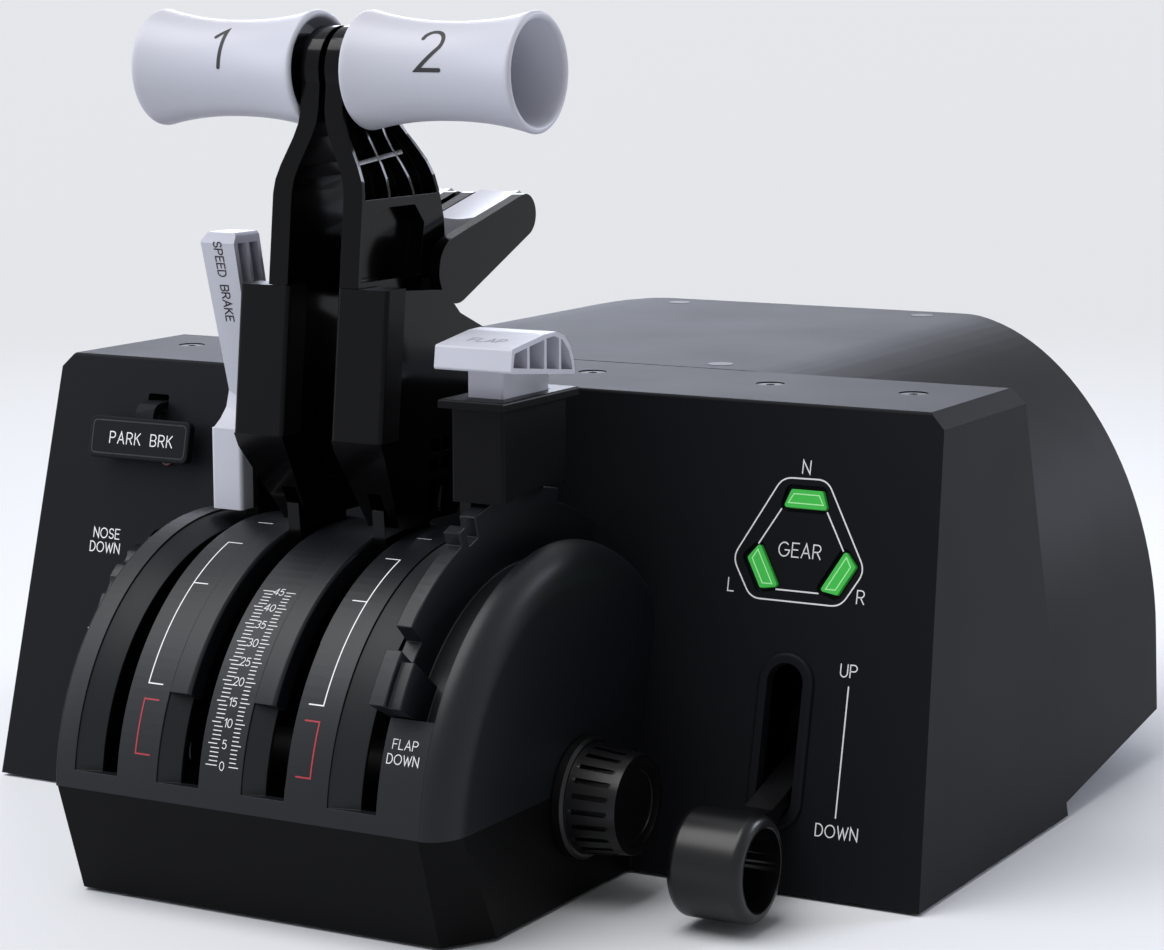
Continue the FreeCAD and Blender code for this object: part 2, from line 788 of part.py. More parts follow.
def park_brake_lamp():
    """Domed lens in the plate, held by a flange behind it."""
    place = up_plate(park_lamp_z)
    lens = Part.makeCylinder(park_lamp_r, housing_wall + 1.0, V(park_lamp_x, place, -housing_wall))
    lens = rounded(lens, 0.7, lambda e: e.BoundBox.ZMin > 0.5)
    flange = Part.makeCylinder(park_lamp_r + 0.9, 0.8, V(park_lamp_x, place, -housing_wall - 0.8))
    return on_plate(lens.fuse(flange))


# ------------------------------------------------------------- pedestal ----


def pedestal_plan(front, corner, inset, left=pedestal_left, right=pedestal_right):
    lean = inset * 0.4
    return [
        (left + inset, 40), (left + inset, front + corner + lean), (left + 8.2 + lean, front + inset),
        (right - 8.6 - lean, front + inset), (right - inset, front + corner + lean), (right - inset, 40),
    ]


def pedestal_base_solid(inset):
    """Base walls: front slopes in towards the bench, front corners cut off."""
    top_front = axle_y - arc_radius + 0.1
    wires = []
    for z, front, corner in ((0.0, base_front, base_corner), (pedestal_seam, top_front, 8.4)):
        points = [V(x, y, z) for x, y in pedestal_plan(front, corner, inset)]
        wires.append(Part.makePolygon(points + [points[0]]))
    return Part.makeLoft(wires, True, True)


def pedestal_base():
    inner = pedestal_base_solid(housing_wall)
    shell = pedestal_base_solid(0).cut(inner).cut(behind_plate())
    hole = rod_x(axle_y, axle_z, axle_r + 1.5, pedestal_left - 5, pedestal_right + 5)
    return shell.cut(hole)


def pedestal_floor():
    slab = box(-100, 100, -120, 40, 0, plate_thickness)
    return pedestal_base_solid(housing_wall).common(slab).cut(behind_plate())


def arc_solid(radius, x0, x1):
    """Quarter-round body from the seam up and back to the front plate."""
    round_bar = rod_x(axle_y, axle_z, radius, x0, x1)
    above = box(x0 - 1, x1 + 1, -150, 100, pedestal_seam, 200)
    return round_bar.common(above)


def slot_cut(left, right, bank):
    outside, bank_foot = arc_radius + 3, arc_radius - bank_depth
    section = [
        (left, outside), (right, outside), (right, arc_radius - arc_wall - 3),
        (left + bank, arc_radius - arc_wall - 3), (left + bank, bank_foot), (left, arc_radius - 0.6),
    ]
    return turned(section, slot_bottom, slot_top)


def arc_cover():
    """Slotted cover: four slots, each with a sloping bank, and a gate window."""
    shell = arc_solid(arc_radius, cover_left, cover_right)
    shell = shell.cut(rod_x(axle_y, axle_z, arc_radius - arc_wall, cover_left - 1, cover_right + 1))
    shell = shell.cut(behind_plate())
    cuts = [slot_cut(*slots[name]) for name in slots]
    left, right, bank = slots["thrust_2"]
    outside = arc_radius + 3
    cuts.append(turned(
        [(right - 2.0, outside), (right + 0.2, outside), (right + 0.2, arc_radius - 0.6), (right - 2.0, arc_radius - 4)],
        slot_bottom + 3, ledge_top,
    ))
    window_left = gate_left - seat_gap
    cuts.append(ring_part(gate_root - 4, arc_radius + 4, gate_start - 0.3, slot_top,
                          window_left, cover_right + 1))
    return shell.cut(cuts)


def slot_guide(name):
    """Strip that fills the bank and narrows the slot above its lower end."""
    left, right, bank = slots[name]
    top = arc_radius + guide_proud
    foot = arc_radius - bank_depth
    section = [
        (left + seat_gap, arc_radius - 0.2), (left + seat_gap, top), (left + guide_width - 0.8, top),
        (left + guide_width, top - 0.8), (left + guide_width, foot - 1.5), (left + bank + seat_gap, foot - 1.5),
        (left + bank + seat_gap, foot + 0.3),
    ]
    return turned(section, guide_start, slot_top)


def flap_gate():
    """Fence beside the flap slot: two rim heights, two notches and a floor."""
    end = slot_top
    fence = [
        ring_part(gate_root, gate_rim, gate_start, end, gate_left, gate_right),
        ring_part(arc_radius + 0.3, gate_high_rim, gate_high_start, gate_high_end, gate_left, gate_right),
        ring_part(gate_root, gate_floor, gate_start, end, gate_left, cover_right),
        ring_part(gate_root, gate_foot[3], gate_start, gate_foot[2], gate_foot[0], gate_foot[1]),
    ]
    gate = fuse(fence)
    for start, stop, depth in gate_notches:
        gate = gate.cut(ring_part(depth, gate_high_rim + 2, start, stop, gate_left - 1, gate_right + 1))
    return gate


def side_cover(inner_x, outer_x):
    """End cover with a broad round edge, hollow, with a hole for the axle."""
    rim = arc_radius - cover_fall
    curve = Part.BSplineCurve()
    steps = 8
    turns = [90.0 * k / steps for k in range(steps + 1)]
    curve.interpolate([
        V(inner_x + (outer_x - inner_x) * sin(turn), axle_y, axle_z + rim + cover_fall * cos(turn)) for turn in turns
    ])
    hub_in, hub_out = V(inner_x, axle_y, axle_z), V(outer_x, axle_y, axle_z)
    wire = Part.Wire([
        Part.makeLine(hub_in, curve.StartPoint), curve.toShape(), Part.makeLine(curve.EndPoint, hub_out),
        Part.makeLine(hub_out, hub_in),
    ])
    round_cover = Part.Face(wire).revolve(hub_in, V(1, 0, 0), 360)
    cover = round_cover.common(box(-100, 100, -150, 100, pedestal_seam, 200))
    toward = 1 if outer_x > inner_x else -1
    h0, h1 = sorted((inner_x - toward, outer_x - toward * 2.6))
    hollow = rod_x(axle_y, axle_z, arc_radius - 8.0, h0, h1)
    hollow = hollow.common(box(-100, 100, -150, 100, pedestal_seam - 5, 200))
    cover = cover.cut(hollow).cut(behind_plate())
    return cover.cut(rod_x(axle_y, axle_z, axle_r + 1.5, -80, 80))


def lever_axle():
    end = pedestal_right + tension_gap + tension_length - 6.0
    rod = rod_x(axle_y, axle_z, axle_r, bearing_left() - 4.0, end)
    return rod


def bearing_left():
    return cover_left + 2.0


def bearing_right():
    return gate_left + 4.0


def bearing_plate(x):
    """Cheek plate that carries the axle, standing on the pedestal floor."""
    thick = 4.0
    web = prism_x(
        [(axle_y - 26, plate_thickness), (axle_y + 22, plate_thickness), (axle_y + 22, 8), (axle_y + 10, axle_z),
         (axle_y - 10, axle_z), (axle_y - 26, 8)],
        x, x + thick,
    )
    eye = rod_x(axle_y, axle_z, 11.5, x, x + thick)
    return fuse([web, eye]).cut(rod_x(axle_y, axle_z, axle_r + seat_fit, x - 1, x + thick + 1))


def friction_discs():
    """Thin washers at both faces of each lever hub."""
    discs = []
    for name in slots:
        left, right = blades[name]
        for x0 in (left - hub_side_gap - 1.2, right + hub_side_gap):
            disc = rod_x(axle_y, axle_z, hub_r, x0, x0 + 1.2)
            discs.append(disc.cut(rod_x(axle_y, axle_z, axle_r + seat_fit, x0 - 1, x0 + 3)))
    return Part.makeCompound(discs)


def axle_spacers():
    """Sleeves that fill the axle between the washers and the cheek plates."""
    edges = [bearing_left() + 4.0]
    for name in slots:
        left, right = blades[name]
        edges += [left - hub_side_gap - 1.2, right + hub_side_gap + 1.2]
    edges.append(bearing_right())
    sleeves = []
    for x0, x1 in zip(edges[0::2], edges[1::2]):
        sleeve = rod_x(axle_y, axle_z, 8.0, x0, x1)
        sleeves.append(sleeve.cut(rod_x(axle_y, axle_z, axle_r + seat_fit, x0 - 1, x1 + 1)))
    return Part.makeCompound(sleeves)


def tension_knob():
    """Ribbed knob: wide base ring, ribbed taper, recessed nose."""
    x0 = pedestal_right + tension_gap
    flange = Part.makeCylinder(tension_base_r, 3.2, V(x0, axle_y, axle_z), V(1, 0, 0))
    flange = flange.makeChamfer(0.8, flange.Edges[:1])
    barrel = Part.makeCone(tension_base_r - 1.6, tension_nose_r, tension_length - 3.2,
                           V(x0 + 3.2, axle_y, axle_z), V(1, 0, 0))
    knob = fuse([flange, barrel])
    grooves = []
    for k in range(tension_ribs):
        a = 360.0 / tension_ribs * k
        groove = box(x0 + 5.0, x0 + tension_length - 3.0, tension_nose_r - 0.1, tension_base_r + 1, -0.75, 0.75)
        groove.rotate(V(0, 0, 0), V(1, 0, 0), a)
        groove.translate(V(0, axle_y, axle_z))
        grooves.append(groove)
    knob = knob.cut(grooves)
    end = x0 + tension_length
    knob = knob.cut(rod_x(axle_y, axle_z, tension_nose_r - 2.0, end - 2.2, end + 1))
    return knob.cut(rod_x(axle_y, axle_z, axle_r + running, x0 - 1, end - 5.5))


def tension_knob_cap():
    end = pedestal_right + tension_gap + tension_length
    cap = rod_x(axle_y, axle_z, tension_nose_r - 2.1, end - 2.2, end - 0.6)
    return cap.cut(rod_x(axle_y, axle_z, tension_nose_r - 4.6, end - 1.0, end + 1))


# -------------------------------------------------------- thrust levers ----


def front_line(z):
    """Y of the levers' common front line at height z."""
    return shroud_front + (z - shroud_bottom) * front_slope


def arm_rear(z):
    """Y of the arm's rear edge at height z."""
    places = ((-4.6, 160.0), (-4.6, 184.0), (-6.5, 190.3), (-8.3, 196.1), (-9.4, 200.9), (-11.4, 205.2),
              (-13.6, 208.9), (-16.4, 212.7), (-20.1, 230.1))
    for (y0, z0), (y1, z1) in zip(places, places[1:]):
        if z <= z1:
            return y0 + (y1 - y0) * (z - z0) / (z1 - z0)
    return places[-1][0]


def arm_outline(rim, low, high):
    """Side outline (y, z) of the arm between two heights, drawn in by rim."""
    steps = 14
    heights = [low + (high - low) * k / steps for k in range(steps + 1)]
    rear = [(arm_rear(z) - rim, z) for z in reversed(heights)]
    return [(front_line(low) + rim, low), (front_line(high) + rim, high)] + rear


def s_band(low_x, high_x):
    """Front outline (x, z) between two offsets, bending in towards the knob."""
    steps = 6

    def x_at(z, near, far):
        t = min(max((z - bend_low) / (bend_high - bend_low), 0.0), 1.0)
        ease = t * t * (3 - 2 * t)
        return near + (far - near) * ease

    heights = [150.0] + [bend_low + (bend_high - bend_low) * k / steps for k in range(steps + 1)] + [250.0]
    left = [(lever_mid + x_at(z, low_x[0], high_x[0]), z) for z in heights]
    right = [(lever_mid + x_at(z, low_x[1], high_x[1]), z) for z in reversed(heights)]
    return left + right


def own_side(shape, name):
    """A lever 2 shape, mirrored when it is for lever 1."""
    return mirrored(shape) if name == "thrust_1" else shape


def arm_pockets():
    """Ribbed pocket below the head and a plain one above the body."""
    deep_low = (arm_low[0] + arm_skin, arm_low[1] + 2)
    deep_high = (arm_high[0] + arm_skin, arm_high[1] + 2)
    near, far = lever_mid, lever_mid + 24
    upper = prism_x(arm_outline(arm_rim, 192.6, 216.0), near, far)
    ribs = [
        prism_x([(-60, 200.7), (-21, 204.1), (-21, 204.1 + rib), (-60, 200.7 + rib)], near, far),
        prism_x([(-33.8, 190), (-33.8 + rib, 190), (-35.8 + rib, 218), (-35.8, 218)], near, far),
        prism_x([(-20.4, 190), (-20.4 + rib, 190), (-26.2 + rib, 206), (-27.3 + rib, 218), (-27.3, 218), (-26.2, 206)],
                near, far),
    ]
    lower = prism_x(
        [(front_line(body_top) + arm_rim, body_top + 1.5), (front_line(182) + arm_rim, 182), (-42.5, 184.9),
         (-39.4, 188.4), (-33.3, 190.0), (-20.4, 190.0), (-15.6, 184.7), (-18.2, body_top + 1.5)],
        near, far,
    )
    deep = prism_y(s_band(deep_low, deep_high), -80, 20)
    return upper.cut(ribs).fuse(lower).common(deep)


def link_sides(name):
    """Left and right faces of the block between the arm and its blade."""
    left, right = blades[name]
    if name == "thrust_1":
        return mirror_x(lever_mid + arm_low[1]), mirror_x(lever_mid + arm_low[0])
    return left - 2.8, right


def thrust_arm(name):
    """One lever's arm: hub, blade, ribbed plate, and round head with a boss."""
    low = body_top + seat_gap
    band = prism_y(s_band(arm_low, arm_high), -80, 20)
    plate = prism_x(arm_outline(0, low, knob_z), lever_mid, lever_mid + 20)
    head = rod_x(knob_y, knob_z, head_r, lever_mid, lever_mid + 20)
    ear = rod_x(reverse_y, reverse_z, 6.5, lever_mid, lever_mid + 20)
    boss = rod_x(knob_y, knob_z, boss_r, lever_mid + arm_high[1] - 1, lever_mid + knob_inner + knob_web_in)
    solid = fuse([plate, head, ear]).common(band).cut(arm_pockets())
    spine = box(lever_mid + arm_low[0], lever_mid + arm_low[1], spine_front, spine_rear,
                link_high - 1, body_top + 1)
    solid = own_side(fuse([solid, boss, spine]), name)
    left, right = blades[name]
    hub = rod_x(axle_y, axle_z, hub_r, left, right)
    half = blade_deep / 2
    blade = prism_x(
        [(-half * 0.8, 0), (half * 0.8, 0), (half, body_bottom + 6 - axle_z), (-half, body_bottom + 6 - axle_z)],
        left, right,
    )
    blade.rotate(V(0, 0, 0), V(1, 0, 0), blade_lean)
    blade.translate(V(0, axle_y, axle_z))
    link_left, link_right = link_sides(name)
    link = box(link_left, link_right, link_front, link_rear, link_low, link_high)
    solid = fuse([solid, hub, blade, link])
    solid = solid.cut(rod_x(axle_y, axle_z, axle_r + running, left - 1, right + 1))
    return solid.cut(rod_x(reverse_y, reverse_z, reverse_pin_r + seat_fit, -40, 40))


def body_outline(shrink):
    """Side outline (y, z) of the lower body."""
    return [
        (front_line(shroud_bottom) + shrink, shroud_bottom + 0.4 * shrink),
        (front_line(body_top) + shrink, body_top - shrink),
        (-20.2 - shrink, body_top - 2.2 - shrink), (-12.2 - shrink, 159.2 - shrink),
        (4.0 - shrink, 152.5 - shrink), (4.0 - shrink, 132.0 + shrink),
        (-11.5 - 0.6 * shrink, body_bottom + shrink), (foot_front + 0.6 * shrink, body_bottom + shrink),
    ]


def body_taper(name, grow):
    """Front outline (x, z) that narrows a lever's body towards its slot."""
    sides = [lever_mid + body_in, lever_mid + body_out]
    if name == "thrust_1":
        sides = [mirror_x(sides[1]), mirror_x(sides[0])]
    left, right = sides[0] + grow, sides[1] - grow
    foot_left = max(left, blades[name][0] - foot_side + grow)
    foot_right = min(right, blades[name][1] + foot_side - grow)
    return [
        (left, 200), (left, 123), (foot_left, body_bottom + 1), (foot_left, body_bottom - 3),
        (foot_right, body_bottom - 3), (foot_right, body_bottom + 1), (right, 123), (right, 200),
    ]


def thrust_body(name):
    """Glossy lower body, hollow, open where the arm passes through it."""
    outer = prism_x(body_outline(0), -40, 40).common(prism_y(body_taper(name, 0), -80, 30))
    upright = [edge for edge in outer.Edges if parallel_to(edge, V(0, 0, 1)) and edge.BoundBox.YMin > 0]
    outer = outer.makeFillet(2.0, upright)
    core = prism_x(body_outline(2.0), -40, 40).common(prism_y(body_taper(name, 2.0), -80, 30))
    left, right = blades[name]
    near, far = lever_mid + body_in - 1, lever_mid + arm_low[1] + 0.3
    spine_way = box(near, far, spine_front - 0.3, spine_rear + 0.3, link_high - 1.3, body_top + 5)
    link_left, link_right = link_sides(name)
    link_way = box(link_left - 0.3, link_right + 0.3, link_front - 0.3, link_rear + 0.3, link_low - 0.3, link_high)
    foot_way = box(left - 0.3, right + 0.3, -47, -8, body_bottom - 5, body_bottom + 10)
    windows = []
    for y0, y1 in ((-28.5, -23.6), (-22.4, -17.5)):
        for z0, z1 in ((1.9, 11.8), (13.8, 17.8), (19.4, 23.4)):
            low, high = body_bottom + z0, body_bottom + z1
            windows.append(box(lever_mid + 14, lever_mid + 40, y0, y1, low, high))
    inner_slot = box(lever_mid - 4, lever_mid + 14, -25.0, -19.6, body_bottom + 4.0, body_bottom + 11.6)
    ways = [own_side(cut, name) for cut in [spine_way, inner_slot] + windows]
    return outer.cut([shroud_block(name, 2.0), core, foot_way, link_way] + ways)


def shroud_block(name, reach):
    """Slab behind the front line; reach lets it run out past the other faces."""
    top = body_top + reach
    side_view = [
        (front_line(shroud_bottom) - reach, shroud_bottom), (front_line(top) - reach, top),
        (front_line(top) + shroud_deep, top), (front_line(shroud_bottom) + shroud_deep, shroud_bottom),
    ]
    block = prism_x(side_view, lever_mid + body_in - 0.2 - reach, lever_mid + body_out + 0.2 + reach)
    return own_side(block, name)


def thrust_shroud():
    """Boxy matt cap over the front of the lower body."""
    cap = shroud_block("thrust_2", 0.0)
    cap = rounded(cap, 1.2, lambda e: abs(e.BoundBox.YMin - front_line(e.BoundBox.ZMin)) < 0.01
                  and parallel_to(e, V(0, front_slope, 1).normalize()))
    x0, x1 = lever_mid + body_in + 1.8, lever_mid + body_out - 1.8
    low, high = shroud_bottom + 2.0, body_top - 2.0
    hollow = prism_x(
        [(front_line(low) + 2.0, low), (front_line(high) + 2.0, high), (front_line(high) + 30, high),
         (front_line(low) + 30, low)],
        x0, x1,
    )
    return cap.cut(hollow)


def spool_radius(t):
    """Outside radius of the knob at fraction t of its length."""
    return knob_waist_r + (knob_r - knob_waist_r) * abs(2 * t - 1) ** 2.2


def spool_curve(x0, x1, reduce, t0, t1):
    """Smooth outline of the spool between two fractions of its length."""
    samples = 9
    curve = Part.BSplineCurve()
    points = []
    for k in range(samples):
        t = t0 + (t1 - t0) * k / (samples - 1)
        points.append(V(x0 + (x1 - x0) * t, knob_y, knob_z + spool_radius(t) - reduce))
    curve.interpolate(points)
    return curve


def thrust_knob():
    """Hollow spool, open at both ends, with a cross wall that the arm carries."""
    x0, x1 = lever_mid + knob_inner, lever_mid + knob_outer
    outer = spool_curve(x0, x1, 0.0, 0.015, 0.985)
    inner = spool_curve(x0, x1, knob_wall, 0.985, 0.015)
    far_lip = V(x1, knob_y, knob_z + knob_r - knob_wall / 2)
    near_lip = V(x0, knob_y, knob_z + knob_r - knob_wall / 2)
    wire = Part.Wire([
        outer.toShape(), Part.Arc(outer.EndPoint, far_lip, inner.StartPoint).toShape(),
        inner.toShape(), Part.Arc(inner.EndPoint, near_lip, outer.StartPoint).toShape(),
    ])
    tube = Part.Face(wire).revolve(V(x0, knob_y, knob_z), V(1, 0, 0), 360)
    web_x = x0 + knob_web_in
    web_r = spool_radius((knob_web_in + knob_web / 2) / (x1 - x0)) - knob_wall + 0.4
    return tube.fuse(rod_x(knob_y, knob_z, web_r, web_x, web_x + knob_web))


def reverse_outline(shrink, x0, x1):
    return slab_of_circles(
        reverse_y, reverse_z, reverse_r - shrink, reverse_tip_y, reverse_tip_z, reverse_tip_r - shrink, x0, x1,
    )


def reverse_mid():
    return lever_mid + (arm_low[0] + arm_low[1]) / 2


def reverse_lever():
    """Two cheeks on the hinge pin, joined behind the arm by a cross web."""
    mid = reverse_mid()
    outer_left, outer_right = mid - reverse_half, mid + reverse_half
    cheeks = [
        reverse_outline(0, outer_left, outer_left + reverse_cheek),
        reverse_outline(0, outer_right - reverse_cheek, outer_right),
    ]
    web_space = prism_x([(6, 100), (60, 100), (60, 184.0), (6, 171.0)], outer_left, outer_right)
    web = reverse_outline(1.2, outer_left + 1, outer_right - 1).common(web_space)
    lever = fuse(cheeks + [web])
    blind = reverse_pin_skin - 0.2
    return lever.cut(rod_x(reverse_y, reverse_z, reverse_pin_r + running, outer_left + blind, outer_right - blind))


def reverse_pad():
    """Saddle-shaped finger rest between the cheeks."""
    mid = reverse_mid()
    half = reverse_half - reverse_cheek - pad_gap
    space = prism_x([(6, 171.0 + pad_gap), (60, 184.0 + pad_gap), (60, 230), (6, 230)], mid - half, mid + half)
    raised = slab_of_circles(
        reverse_y, reverse_z, reverse_r + 1.4, reverse_tip_y, reverse_tip_z, reverse_tip_r + 1.4,
        mid - half, mid + half,
    )
    pad = raised.common(space)
    hollow_r = 30.0
    heading = math.atan2(reverse_tip_z - reverse_z, reverse_tip_y - reverse_y)
    start = V(mid, reverse_y, reverse_z)
    lift = hollow_r + reverse_r - 0.6
    along = V(0, math.cos(heading - 0.09), math.sin(heading - 0.09))
    across = V(0, -along.z, along.y)
    groove = Part.makeCylinder(hollow_r, 80, start + across * lift, along)
    return pad.cut(groove)


def reverse_pin():
    """Hinge pin, its ends hidden in blind bores in the cheeks."""
    mid, reach = reverse_mid(), reverse_half - reverse_pin_skin
    return rod_x(reverse_y, reverse_z, reverse_pin_r, mid - reach, mid + reach)


# -------------------------------------------------- speed brake and flap ---


def speed_brake_handle():
    """Leaning paddle with side pockets on a tall block."""
    x0, x1 = brake_left, brake_left + brake_width
    lean = tan(brake_lean)
    foot_z, top_z = 129.0, 181.0
    foot_front = -23.2
    deep = 13.0

    def lean_y(z):
        return foot_front - (z - foot_z) * lean

    paddle = prism_x(
        [(lean_y(foot_z), foot_z), (lean_y(top_z - 3), top_z - 3), (lean_y(top_z) + 2.0, top_z),
         (lean_y(top_z) + deep, top_z), (lean_y(foot_z) + deep, foot_z)],
        x0 - 1, x1 + 1,
    )
    width_view = [
        (x0 + 1.6, foot_z - 20), (x0 + 1.2, foot_z), (x0, top_z - 2.5), (x0 + 2.5, top_z + 1),
        (x1 - 1.0, top_z + 1), (x1, top_z - 1), (x1 - 1.2, foot_z), (x1 - 1.2, foot_z - 20),
    ]
    paddle = paddle.common(prism_y(width_view, -80, 30))
    pockets = []
    for near, far in ((1.8, 6.0), (7.4, 11.6)):
        pockets.append(prism_x(
            [(lean_y(166) + near, 166), (lean_y(top_z - 3) + near, top_z - 3),
             (lean_y(top_z - 3) + far, top_z - 3), (lean_y(166) + far, 166)],
            x1 - 3.6, x1 + 2,
        ))
    paddle = paddle.cut(pockets)
    flare = prism_x(
        [(brake_block_front, brake_block_top), (brake_block_front + 3.4, brake_block_top + 2.2),
         (brake_block_front + 6.6, brake_block_top + 5.4), (lean_y(foot_z + 5), foot_z + 5),
         (lean_y(foot_z + 5) + deep, foot_z + 5), (lean_y(foot_z) + deep + 1.4, brake_block_top + 3.5),
         (brake_block_rear - 4.0, brake_block_top)],
        x0 + 1.0, x1 - 1.2,
    )
    block = box(x0, x0 + 10.7, brake_block_front, brake_block_rear, axle_z + 40, brake_block_top)
    block = rounded(block, 1.2, lambda e: parallel_to(e, V(0, 0, 1)) and e.BoundBox.YMax < -20)
    under = rod_x(axle_y, axle_z, arc_radius + brake_block_lift, x0 - 1, x1 + 1)
    left, right = blades["speed_brake"]
    seat = box(left - 0.1, right + 0.1, -27.0, -6.0, 80, brake_blade_top)
    return fuse([paddle, flare, block]).cut([under, seat])


def speed_brake_arm():
    """Hub and blade that carry the speed brake handle."""
    left, right = blades["speed_brake"]
    blade = prism_x(
        [(axle_y - 8, axle_z), (axle_y + 8, axle_z), (-6.2, 92), (-6.2, brake_blade_top),
         (-26.8, brake_blade_top), (-26.8, 92)],
        left, right,
    )
    hub = rod_x(axle_y, axle_z, hub_r, left, right)
    return fuse([blade, hub]).cut(rod_x(axle_y, axle_z, axle_r + running, left - 1, right + 1))


def flap_arm():
    """Hub and blade that carry the flap column."""
    left, right = blades["flap"]
    blade = prism_x(
        [(axle_y - 8, axle_z), (axle_y + 8, axle_z), (column_rear - 2, 92), (column_rear - 2, 124),
         (column_front + 2, 124), (column_front + 2, 92)],
        left, right,
    )
    hub = rod_x(axle_y, axle_z, hub_r, left, right)
    return fuse([blade, hub]).cut(rod_x(axle_y, axle_z, axle_r + running, left - 1, right + 1))


def flap_column():
    """Square column that rides over the gate fence, with a flange on top."""
    foot = gate_high_rim + 1.4
    column = box(column_left, column_right, column_front, column_rear, 90, column_top)
    column = column.cut(rod_x(axle_y, axle_z, foot, column_left - 1, column_right + 1))
    column = rounded(column, 1.0, lambda e: parallel_to(e, V(0, 0, 1)))
    left, right = blades["flap"]
    flange = box(column_left - 2.0, column_right + 2.0, column_front - flange_over, column_rear + flange_over,
                 column_top, column_top + flange_thick)
    flange = rounded(flange, 0.8, lambda e: e.BoundBox.ZLength < 0.01 and e.BoundBox.ZMin > column_top + 1)
    well = box(stem_left - stem_gap, stem_right + stem_gap, stem_front - stem_gap, stem_rear + stem_gap,
               column_top - 12, column_top + 10)
    seat = box(left - 0.1, right + 0.1, column_front + 1.9, column_rear - 1.9, 60, 124)
    return fuse([column, flange]).cut([well, seat])


def handle_outline(shrink):
    """Side outline (y, z) of the flap handle: blunt nose, arched back."""
    arc_points = [(-27.0, 157.4), (-22.5, 156.0), (-19.0, 152.6), (-17.2, 148.6)]
    arched = [(y - 0.7 * shrink, z - 0.8 * shrink) for y, z in arc_points]
    return [(-51.5 + shrink, 148.4 + shrink), (-50.6 + shrink, 154.9 - 0.9 * shrink)] + [
        (-33.0, 157.3 - shrink)] + arched + [(-16.6 - shrink, 144.6 + shrink)]


def flap_handle():
    """Light handle with ribbed open ends, on a stem that slides in the column."""
    body = prism_x(handle_outline(0), handle_left, handle_right)
    body = rounded(body, 0.8, lambda e: parallel_to(e, V(1, 0, 0)) and e.BoundBox.YMax < -45)
    cells = []
    for y0, y1 in ((-50, -42.6), (-41.4, -33.4), (-32.2, -25.4), (-24.2, -16)):
        cell = prism_x(handle_outline(handle_wall), handle_right - 10.0, handle_right + 1)
        cells.append(cell.common(box(0, 100, y0, y1, 100, 200)))
        left_cell = prism_x(handle_outline(handle_wall), handle_left - 1, handle_left + 4.0)
        cells.append(left_cell.common(box(0, 100, y0, y1, 100, 200)))
    body = body.cut(cells)
    stem = box(stem_left, stem_right, stem_front, stem_rear, column_top - 11.6, 149.0)
    stem = rounded(stem, 0.8, lambda e: parallel_to(e, V(0, 0, 1)))
    return fuse([body, stem])


# --------------------------------------------------------------- export ----

export(front_housing(), "front_housing")
export(rear_housing(), "rear_housing")
export(rear_floor(), "rear_floor")
export(base_plate(), "base_plate")
export(housing_screws(), "housing_screws")
export(top_plugs(), "top_plugs")
export(usb_socket(), "usb_socket")
export(rubber_feet(), "rubber_feet")
export(main_board(), "main_board")

export(gear_bezel(), "gear_bezel")
export(gear_lamps(), "gear_lamps")
export(lamp_board(), "lamp_board")
export(gear_bracket(), "gear_bracket")
export(gear_pin(), "gear_pin")
export(gear_lever(), "gear_lever")
export(gear_wheel(), "gear_wheel")
export(trim_wheel(), "trim_wheel")
export(trim_axle(), "trim_axle")
export(trim_bracket(), "trim_bracket")
export(park_brake_lever(), "park_brake_lever")
export(park_brake_bracket(), "park_brake_bracket")
export(park_brake_pin(), "park_brake_pin")
export(park_brake_lamp(), "park_brake_lamp")

export(pedestal_base(), "pedestal_base")
export(pedestal_floor(), "pedestal_floor")
export(arc_cover(), "arc_cover")
export(side_cover(cover_left, pedestal_left), "left_side_cover")
export(side_cover(cover_right, pedestal_right), "right_side_cover")
export(slot_guide("thrust_1"), "slot_guide_1")
export(slot_guide("thrust_2"), "slot_guide_2")
export(flap_gate(), "flap_gate")
export(lever_axle(), "lever_axle")
export(bearing_plate(bearing_left()), "bearing_plate_left")
export(bearing_plate(bearing_right()), "bearing_plate_right")
export(friction_discs(), "friction_discs")
export(axle_spacers(), "axle_spacers")
export(tension_knob(), "tension_knob")
export(tension_knob_cap(), "tension_knob_cap")

for piece, make in (
    ("thrust_shroud", thrust_shroud), ("thrust_knob", thrust_knob), ("reverse_lever", reverse_lever),
    ("reverse_pad", reverse_pad), ("reverse_pin", reverse_pin),
):
    right_hand = make()
    export(right_hand, piece + "_2")
    export(mirrored(right_hand), piece + "_1")
for number in ("1", "2"):
    export(thrust_arm("thrust_" + number), "thrust_arm_" + number)
    export(thrust_body("thrust_" + number), "thrust_body_" + number)

export(speed_brake_handle(), "speed_brake_handle")
export(speed_brake_arm(), "speed_brake_arm")
export(flap_arm(), "flap_arm")
export(flap_column(), "flap_column")
export(flap_handle(), "flap_handle")
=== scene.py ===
# %% [markdown]
# # A desk throttle quadrant
# The real object is a set of moulded black shells with a few printed and lit details: a wedge housing with
# an arched hump, a pedestal with a slotted arc cover, and levers with pale hollow grips. The solids in the
# frame give every place and size. The steps below give each piece its finish and its softly rounded edges,
# turn the grips, and print the legends.

# %% Load the frame
import json
import math

import bmesh
import bpy
import numpy as np
from mathutils import Matrix, Vector

